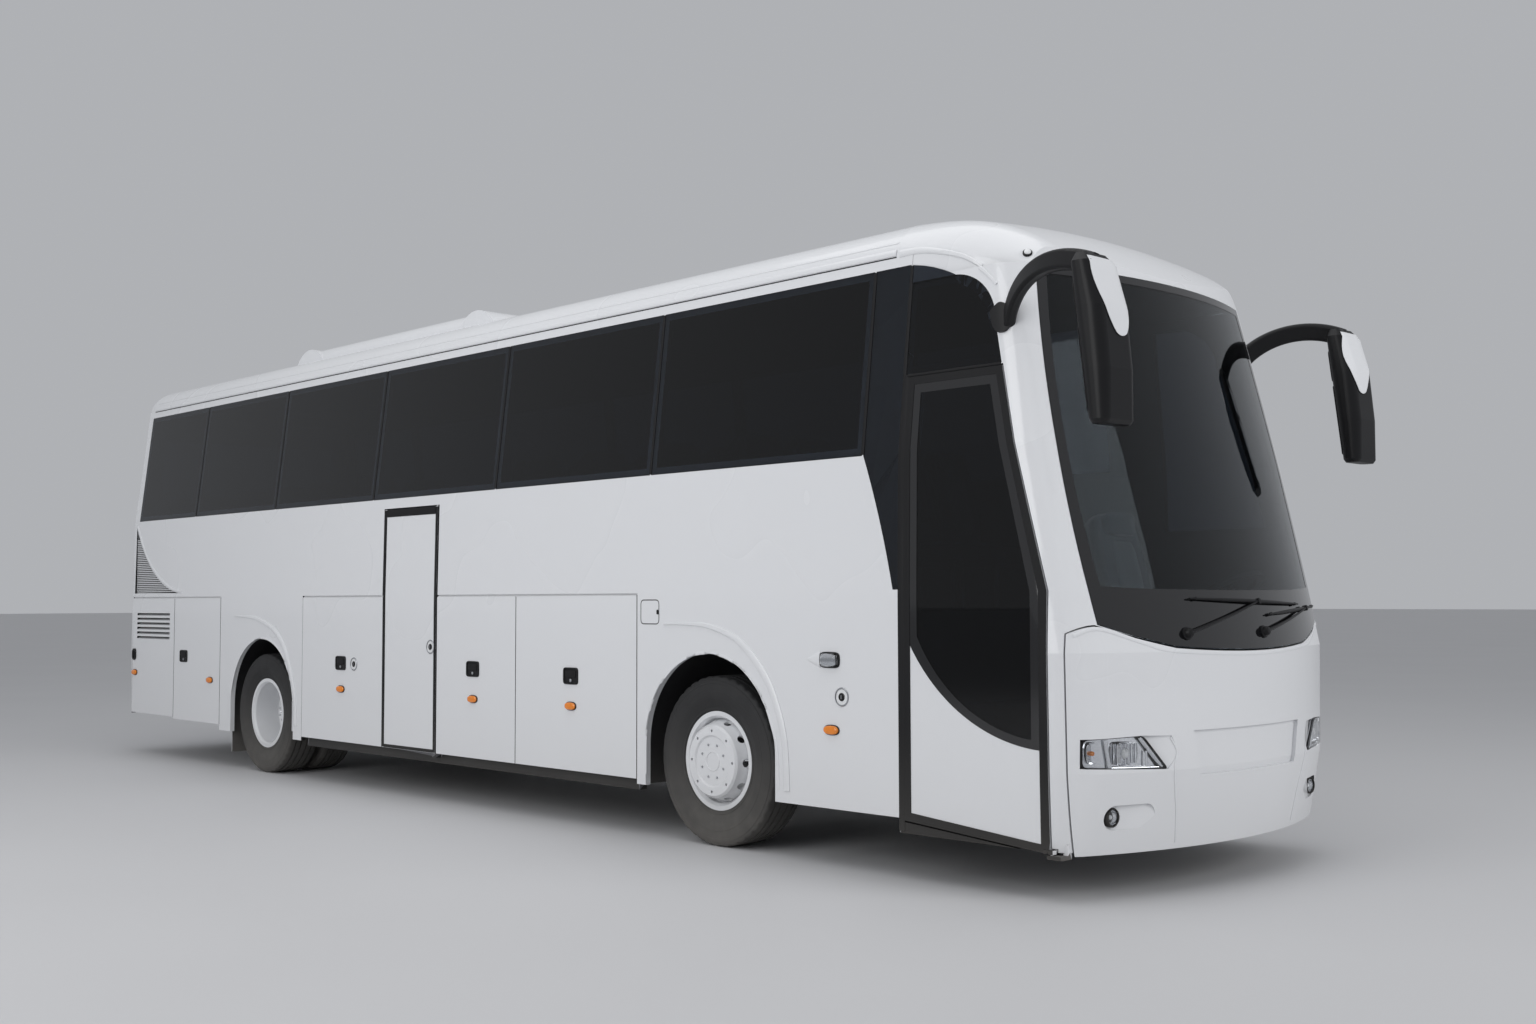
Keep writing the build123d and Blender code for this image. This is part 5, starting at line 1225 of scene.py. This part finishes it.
# Offset, radius and depth of the notches between the shoulder blocks
SHOULDER = ((0.126, 0.5165, 0.007), (0.119, 0.5205, 0.009))
TREAD_RADIUS = 0.5215
GROOVE_RADIUS = TREAD_RADIUS - 0.013
GROOVES = (-0.078, -0.027, 0.027, 0.078)
TYRE_STEPS = 168
# Circle, size and height of the wheel nuts; the same after a count for the bolts inside them
NUTS = (0.1675, 0.0155, 0.026)
FRONT_BOLTS = (8, 0.105, 0.008, 0.006)
REAR_BOLTS = (8, 0.078, 0.011, 0.010)
HUB_RING = [(-0.004, 0.062), (0.002, 0.062), (0.004, 0.058), (0.002, 0.054), (-0.004, 0.054)]
VALVE = (0.262, 0.02)


class COACH_OT_wheels(bpy.types.Operator):
    """Tyres with sidewall rings, shoulder blocks and tread grooves, and the wheel nuts"""

    bl_idname = "coach.wheels"
    bl_label = "Wheels"

    def execute(self, context):
        nuts = context.scene.coach_trim.nuts
        for side, sign in SIDES:
            for end, x in (("front", FRONT_AXLE_X), ("rear", REAR_AXLE_X)):
                name = end + "_" + side
                shape = Shape()
                self.tyre(shape, (x, sign * TYRE_CENTRE, AXLE_Z))
                if end == "rear":
                    self.tyre(shape, (x, sign * (TYRE_CENTRE - TWIN_SPACING), AXLE_Z))
                tyre, wheel = "tyre_" + name, "wheel_" + name
                shape.piece(tyre + "_tread", wheel, "tyre_rubber", (tyre,), crease=30)
                self.fixings(name, x, sign, nuts)
        return {"FINISHED"}

    def tyre(self, shape, centre):
        """One tyre: rings of its profile, with blocks cut in the shoulders."""
        side = [(offset, radius, 0) for offset, radius in SIDEWALL] + list(SHOULDER)
        profile = [(-offset, radius, notch) for offset, radius, notch in side]
        for groove in GROOVES:
            profile += [(groove - 0.0065, TREAD_RADIUS, 0), (groove - 0.0045, GROOVE_RADIUS, 0)]
            profile += [(groove + 0.0045, GROOVE_RADIUS, 0), (groove + 0.0065, TREAD_RADIUS, 0)]
        profile += side[::-1]
        loops = []
        for offset, radius, notch in profile:
            loop = []
            for k in range(TYRE_STEPS):
                turn = tau * k / TYRE_STEPS
                reach = radius - (notch if k % 4 == 0 else 0)
                loop.append(Vector(centre) + Vector((reach * cos(turn), offset, reach * sin(turn))))
            loops.append(loop)
        shape.add(rings(loops, closed=True), "tyre_rubber")

    def fixings(self, name, x, sign, nuts):
        """Nuts, hub bolts and the valve of one wheel."""
        shape = Shape()
        axis = Vector((0, sign, 0))
        wheel = Skin(name.split("_")[1], "wheel_" + name)
        rows = [(nuts, *NUTS), REAR_BOLTS] if "rear" in name else [FRONT_BOLTS]
        for count, circle, size, height in rows:
            for k in range(count):
                turn = tau * (k + 0.5) / count
                place = wheel.at(x + circle * cos(turn), AXLE_Z + circle * sin(turn))
                bolt = [(-0.002, size), (height * 0.7, size), (height, size * 0.75)]
                shape.add(lathe(bolt, place, axis, 6), "satin_metal")
        face = wheel.at(x, AXLE_Z).y
        shape.add(lathe(HUB_RING, (x, face, AXLE_Z), axis, 48), "wheel_paint")
        spot = wheel.at(x + VALVE[0], AXLE_Z + VALVE[1])
        valve = [spot + axis * -0.002, spot + axis * 0.012, spot + axis * 0.026 + Vector((-0.012, 0, 0))]
        shape.add(tube(valve, 0.006, 8), "bright_metal")
        shape.piece("fixings_" + name, "wheel_" + name, "wheel_white", crease=30)


# Seats

SEAT_ROWS = [3.6 - 0.78 * k for k in range(12)]
SEAT_DECK = 1.44
SEAT_Y = (0.46, 0.92)
SEAT_WIDTH = 0.43
ARM_REST_Y, ARM_REST_RISE = 0.246, 0.60
STAIR_ROWS = (0.48, -0.30)
CUSHION = (
    (-0.062, 0.9), (-0.052, 0.985), (-0.02, 1.0), (0.025, 1.0),
    (0.048, 0.95), (0.060, 0.8), (0.067, 0.5), (0.070, 0.18),
)
BACK = (
    (-0.045, 0.88), (-0.038, 0.98), (-0.01, 1.0), (0.02, 1.0),
    (0.038, 0.95), (0.047, 0.8), (0.052, 0.5), (0.054, 0.18),
)
SHELL = ((-0.03, 0.8), (-0.024, 0.97), (-0.004, 1.0), (0.012, 1.0))
PEDESTAL = ((0.0, 1.0), (0.02, 1.0), (0.05, 0.86), (0.26, 0.8), (0.31, 0.9), (0.325, 0.9))
SLOPE = Vector((-0.249, 0, 0.9685))
# Front edge, place across, deck and width of the driver's seat
DRIVER_SEAT = (5.195, 0.62, 0.935, 0.46)


def add_seat(shape, frames, front, y, deck, width):
    """One seat: cushion, leaning back with bolsters, head rest, shell and legs."""
    cloth, accent, metal = "seat_cloth", "seat_accent", "satin_metal"
    seat = Vector((front - 0.235, y, deck + 0.378))
    shape.add(pad(seat, AHEAD, LEFTWARD, (0.46, width), CUSHION, 5, 28), cloth)
    shape.add(pad(seat + UP * 0.012, AHEAD, LEFTWARD, (0.36, width * 0.6), CUSHION[3:], 5, 28), accent)
    back = Vector((front - 0.485, y, deck + 0.765))
    shape.add(pad(back, LEFTWARD, SLOPE, (width, 0.69), BACK, 5, 28), cloth)
    out = LEFTWARD.cross(SLOPE)
    middle = back + out * 0.012 - SLOPE * 0.05
    shape.add(pad(middle, LEFTWARD, SLOPE, (width * 0.58, 0.46), BACK[3:], 5, 28), accent)
    head = back + SLOPE * 0.265 + out * 0.035
    shape.add(pad(head, LEFTWARD, SLOPE, (width * 0.7, 0.15), BACK[2:], 4, 28), cloth)
    behind = back - out * 0.055 - SLOPE * 0.01
    frames.add(pad(behind, LEFTWARD, SLOPE, (width * 0.96, 0.66), SHELL, 6, 24), "dash_plastic")
    for x in (front - 0.40, front - 0.10):
        frames.add(tube([(x, y, deck + 0.005), (x, y, deck + 0.31)], 0.02, 10), metal)
    beam = [(front - 0.25, end, deck + 0.30) for end in (y - width / 2, y + width / 2)]
    frames.add(tube(beam, 0.022, 10), metal)


class COACH_OT_seats(bpy.types.Operator):
    """Rows of padded seats and the driver's seat"""

    bl_idname = "coach.seats"
    bl_label = "Seats"

    def execute(self, context):
        for side, sign in SIDES:
            shape, frames = Shape(), Shape()
            for row in SEAT_ROWS:
                if side == "right" and min(abs(row - x) for x in STAIR_ROWS) < 0.01:
                    continue
                for y in SEAT_Y:
                    add_seat(shape, frames, row, sign * y, SEAT_DECK, SEAT_WIDTH)
                rest = [(x, sign * ARM_REST_Y, SEAT_DECK + ARM_REST_RISE) for x in (row - 0.42, row - 0.12)]
                frames.add(tube(rest, 0.02, 10), "dash_plastic")
            self.place(shape, "seat_cushions_" + side, frames, "seat_frames_" + side, "passenger_seats")
        shape, frames = Shape(), Shape()
        add_seat(shape, frames, *DRIVER_SEAT)
        base = (4.95, DRIVER_SEAT[1], 0.892)
        frames.add(pad(base, AHEAD, LEFTWARD, (0.36, 0.36), PEDESTAL, 6, 24), "dash_plastic")
        self.place(shape, "driver_cushion", frames, "driver_seat_base", "driver_seat")
        return {"FINISHED"}

    def place(self, shape, name, frames, frames_name, node):
        """Cushions and frames that stand for one CAD node."""
        cushions = shape.piece(name, "coach", "seat_fabric", (node,))
        frames.piece(frames_name, "coach", "seat_fabric", (node,))


# Tail and roof unit

TAIL_LAMP = [(1.03, 0.9), (1.19, 0.9), (1.175, 1.48), (1.06, 1.48)]
LAMP_FOOT_Z, LAMP_RISE = 0.9, 0.58
# Foot, top and finish of the lenses in a tail lamp
LAMP_ROWS = (
    (0.91, 1.05, "red_lens"),
    (1.06, 1.19, "frosted_lens"),
    (1.20, 1.33, "marker_lens"),
    (1.34, 1.47, "red_lens"),
)
PLATE = [(-0.26, 0.76), (0.26, 0.76), (0.26, 0.87), (-0.26, 0.87)]
# Lines across the tail: half length, height, steps, width, rise and finish
TAIL_LINES = (
    (1.05, 0.56, 24, 0.05, 0.008, "body_paint"),
    (0.95, 2.27, 24, 0.012, 0.003, "seal_rubber"),
    (0.16, 3.30, 8, 0.03, 0.010, "red_lens"),
)
# Slats of the engine lid and of the roof unit: how many, place of the first and pitch
LID_SLATS, LID_SLAT_Z, LID_PITCH = 9, 1.05, 0.042
VENT_SLATS, VENT_SLAT_X, VENT_PITCH = 14, -2.95, 0.10
FAN_X, FAN_Y = (-1.35, -0.62), (-0.36, 0.36)
FAN_RING = [(-0.002, 0.25), (0.012, 0.25), (0.018, 0.235), (0.012, 0.22), (0.002, 0.215)]


class COACH_OT_tail(bpy.types.Operator):
    """Tail lamp lenses, blank plate, lid handle and lines, and the roof unit's grilles"""

    bl_idname = "coach.tail"
    bl_label = "Tail"

    def execute(self, context):
        self.lenses()
        self.lid()
        wall = Shape()
        skin = Skin("tail", "rear_wall")
        for half, z, steps, width, height, finish in TAIL_LINES:
            wall.add(laid_ribbon(skin, line((-half, z), (half, z), steps), width, height), finish)
        wall.piece("tail_lines", "coach", "trim_black")
        self.vents()
        return {"FINISHED"}

    def lenses(self):
        """Lenses and edges of the tail lamps."""
        lamps = Shape()
        lens = Skin("tail", "rear_lamps")
        for sign in (-1, 1):
            for foot, top, finish in LAMP_ROWS:
                inner = [1.042 + 0.030 * (z - LAMP_FOOT_Z) / LAMP_RISE for z in (foot, top)]
                outer = [1.178 - 0.015 * (z - LAMP_FOOT_Z) / LAMP_RISE for z in (foot, top)]
                loop = [(inner[0], foot), (outer[0], foot), (outer[1], top), (inner[1], top)]
                loop = rounded([(sign * y, z) for y, z in loop], 0.02)
                lamps.add(laid_patch(lens, loop, 0.006, 0.04), finish)
            edge = rounded([(sign * y, z) for y, z in shrink(TAIL_LAMP, 0.985)], 0.02)
            lamps.add(laid_ribbon(lens, edge, 0.012, 0.004, closed=True), "trim_plastic")
        lamps.piece("tail_lenses", "coach", "lamp_red")

    def lid(self):
        """Blank plate, slats and grip of the engine lid."""
        lid, black = Shape(), "trim_plastic"
        panel = Skin("tail", "engine_lid")
        plate = rounded(PLATE, 0.012)
        lid.add(laid_patch(panel, plate, 0.004, 0.1), "frosted_lens")
        lid.add(laid_ribbon(panel, plate, 0.008, 0.005, closed=True), black)
        for k in range(LID_SLATS):
            z = LID_SLAT_Z + LID_PITCH * k
            lid.add(laid_ribbon(panel, line((-0.62, z), (0.62, z), 16), 0.018, 0.006), black)
        lid.add(laid_ribbon(panel, line((-0.12, 0.665), (0.12, 0.665), 6), 0.035, 0.012), black)
        lid.piece("lid_trim", "engine_lid", "trim_black")

    def vents(self):
        """Slats and fan rings on the roof unit."""
        unit, black = Shape(), "trim_plastic"
        top = Skin("top", "roof_unit")
        for sign in (-1, 1):
            for k in range(VENT_SLATS):
                x = VENT_SLAT_X + VENT_PITCH * k
                slat = line((x, sign * 0.18), (x, sign * 0.62), 4)
                unit.add(laid_ribbon(top, slat, 0.035, 0.005), black)
        for x in FAN_X:
            for y in FAN_Y:
                unit.add(lathe(FAN_RING, top.at(x, y), UP, 40), black)
        unit.piece("roof_unit_vents", "coach", "trim_black")


# Stage

# Soft lamps: name, place, what it faces, size and power
LIGHTS = (
    ("Overhead", (2, -3, 11), (0, 0, 1.5), 12, 400),
    ("Side", (3, -15, 6), (0, 0, 1.6), 9, 640),
    ("Front", (17, 3, 6), (4, 0, 1.6), 7, 620),
)
FLOOR_REACH = 200


class COACH_OT_stage(bpy.types.Operator):
    """Floor, soft light and the camera"""

    bl_idname = "coach.stage"
    bl_label = "Stage"

    def execute(self, context):
        scene = context.scene
        stage = scene.coach_stage
        scene.view_settings.view_transform = "Standard"
        build_floor(stage)
        build_light(scene, stage)
        lens = bpy.data.cameras.new("Camera")
        lens.lens = stage.lens
        lens.sensor_width = 36
        lens.clip_end = 300
        camera = bpy.data.objects.new("Camera", lens)
        ahead = Vector(
            (-sin(stage.yaw) * cos(stage.pitch), cos(stage.yaw) * cos(stage.pitch), sin(stage.pitch))
        )
        level = Vector((cos(stage.yaw), sin(stage.yaw), 0))
        up = level.cross(ahead)
        right = level * cos(stage.roll) + up * sin(stage.roll)
        turn = Matrix((right, right.cross(ahead), -ahead)).transposed()
        camera.matrix_world = Matrix.Translation(Vector(stage.camera)) @ turn.to_4x4()
        scene.collection.objects.link(camera)
        scene.camera = camera
        return {"FINISHED"}


def build_floor(stage):
    """Wide plain floor."""
    mesh = bpy.data.meshes.new("Floor")
    corners = [(x * FLOOR_REACH, y * FLOOR_REACH, 0) for x, y in ((-1, -1), (1, -1), (1, 1), (-1, 1))]
    mesh.from_pydata(corners, [], [(0, 1, 2, 3)])
    floor = bpy.data.objects.new("Floor", mesh)
    mesh.materials.append(build_finish("floor_paint", stage.floor, 0.6, (40, 0.05, 0.4), None, 0.015))
    bpy.context.scene.collection.objects.link(floor)


def build_light(scene, stage):
    """Even light from all round, with soft lamps overhead and to the side."""
    world = bpy.data.worlds.new("Studio")
    world.use_nodes = True
    tree = world.node_tree
    back = tree.nodes["Background"]
    back.inputs["Color"].default_value = (0.86, 0.88, 0.92, 1)
    path = tree.nodes.new("ShaderNodeLightPath")
    seen = maths(tree, "MAXIMUM", path.outputs["Is Camera Ray"], path.outputs["Is Transmission Ray"])
    seen = maths(tree, "MAXIMUM", seen, path.outputs["Is Glossy Ray"])
    lit = maths(tree, "MULTIPLY_ADD", seen, stage.backdrop - stage.sky, stage.sky)
    tree.links.new(lit, back.inputs["Strength"])
    scene.world = world
    for name, place, target, size, power in LIGHTS:
        data = bpy.data.lights.new(name, "AREA")
        data.size = size
        data.energy = power
        lamp = bpy.data.objects.new(name, data)
        lamp.location = place
        lamp.visible_glossy = name != "Front"
        lamp.rotation_mode = "QUATERNION"
        lamp.rotation_quaternion = (Vector(target) - Vector(place)).to_track_quat("-Z", "Y")
        scene.collection.objects.link(lamp)


CLASSES = (
    CoachColours,
    CoachTrim,
    CoachStage,
    COACH_OT_finishes,
    COACH_OT_glazing,
    COACH_OT_ridges,
    COACH_OT_fittings,
    COACH_OT_lamps,
    COACH_OT_mirrors,
    COACH_OT_wipers,
    COACH_OT_wheels,
    COACH_OT_seats,
    COACH_OT_tail,
    COACH_OT_stage,
)
STEPS = (
    "finishes",
    "glazing",
    "ridges",
    "fittings",
    "lamps",
    "mirrors",
    "wipers",
    "wheels",
    "seats",
    "tail",
    "stage",
)


class COACH_PT_sidebar(bpy.types.Panel):
    """Steps that dress the coach, in order"""

    bl_idname = "COACH_PT_sidebar"
    bl_label = "Touring coach"
    bl_space_type = "VIEW_3D"
    bl_region_type = "UI"
    bl_category = "Coach"

    def draw(self, context):
        for step in STEPS:
            self.layout.operator("coach." + step)
        for group in (context.scene.coach_colours, context.scene.coach_trim, context.scene.coach_stage):
            for name in group.bl_rna.properties.keys():
                if name not in {"rna_type", "name"}:
                    self.layout.prop(group, name)


def register():
    for cls in CLASSES + (COACH_PT_sidebar,):
        bpy.utils.register_class(cls)
    bpy.types.Scene.coach_colours = PointerProperty(type=CoachColours)
    bpy.types.Scene.coach_trim = PointerProperty(type=CoachTrim)
    bpy.types.Scene.coach_stage = PointerProperty(type=CoachStage)


def unregister():
    del bpy.types.Scene.coach_stage
    del bpy.types.Scene.coach_trim
    del bpy.types.Scene.coach_colours
    for cls in reversed(CLASSES + (COACH_PT_sidebar,)):
        bpy.utils.unregister_class(cls)


def main():
    """Dress the coach."""
    register()
    for step in STEPS:
        getattr(bpy.ops.coach, step)()


if __name__ == "__main__":
    main()
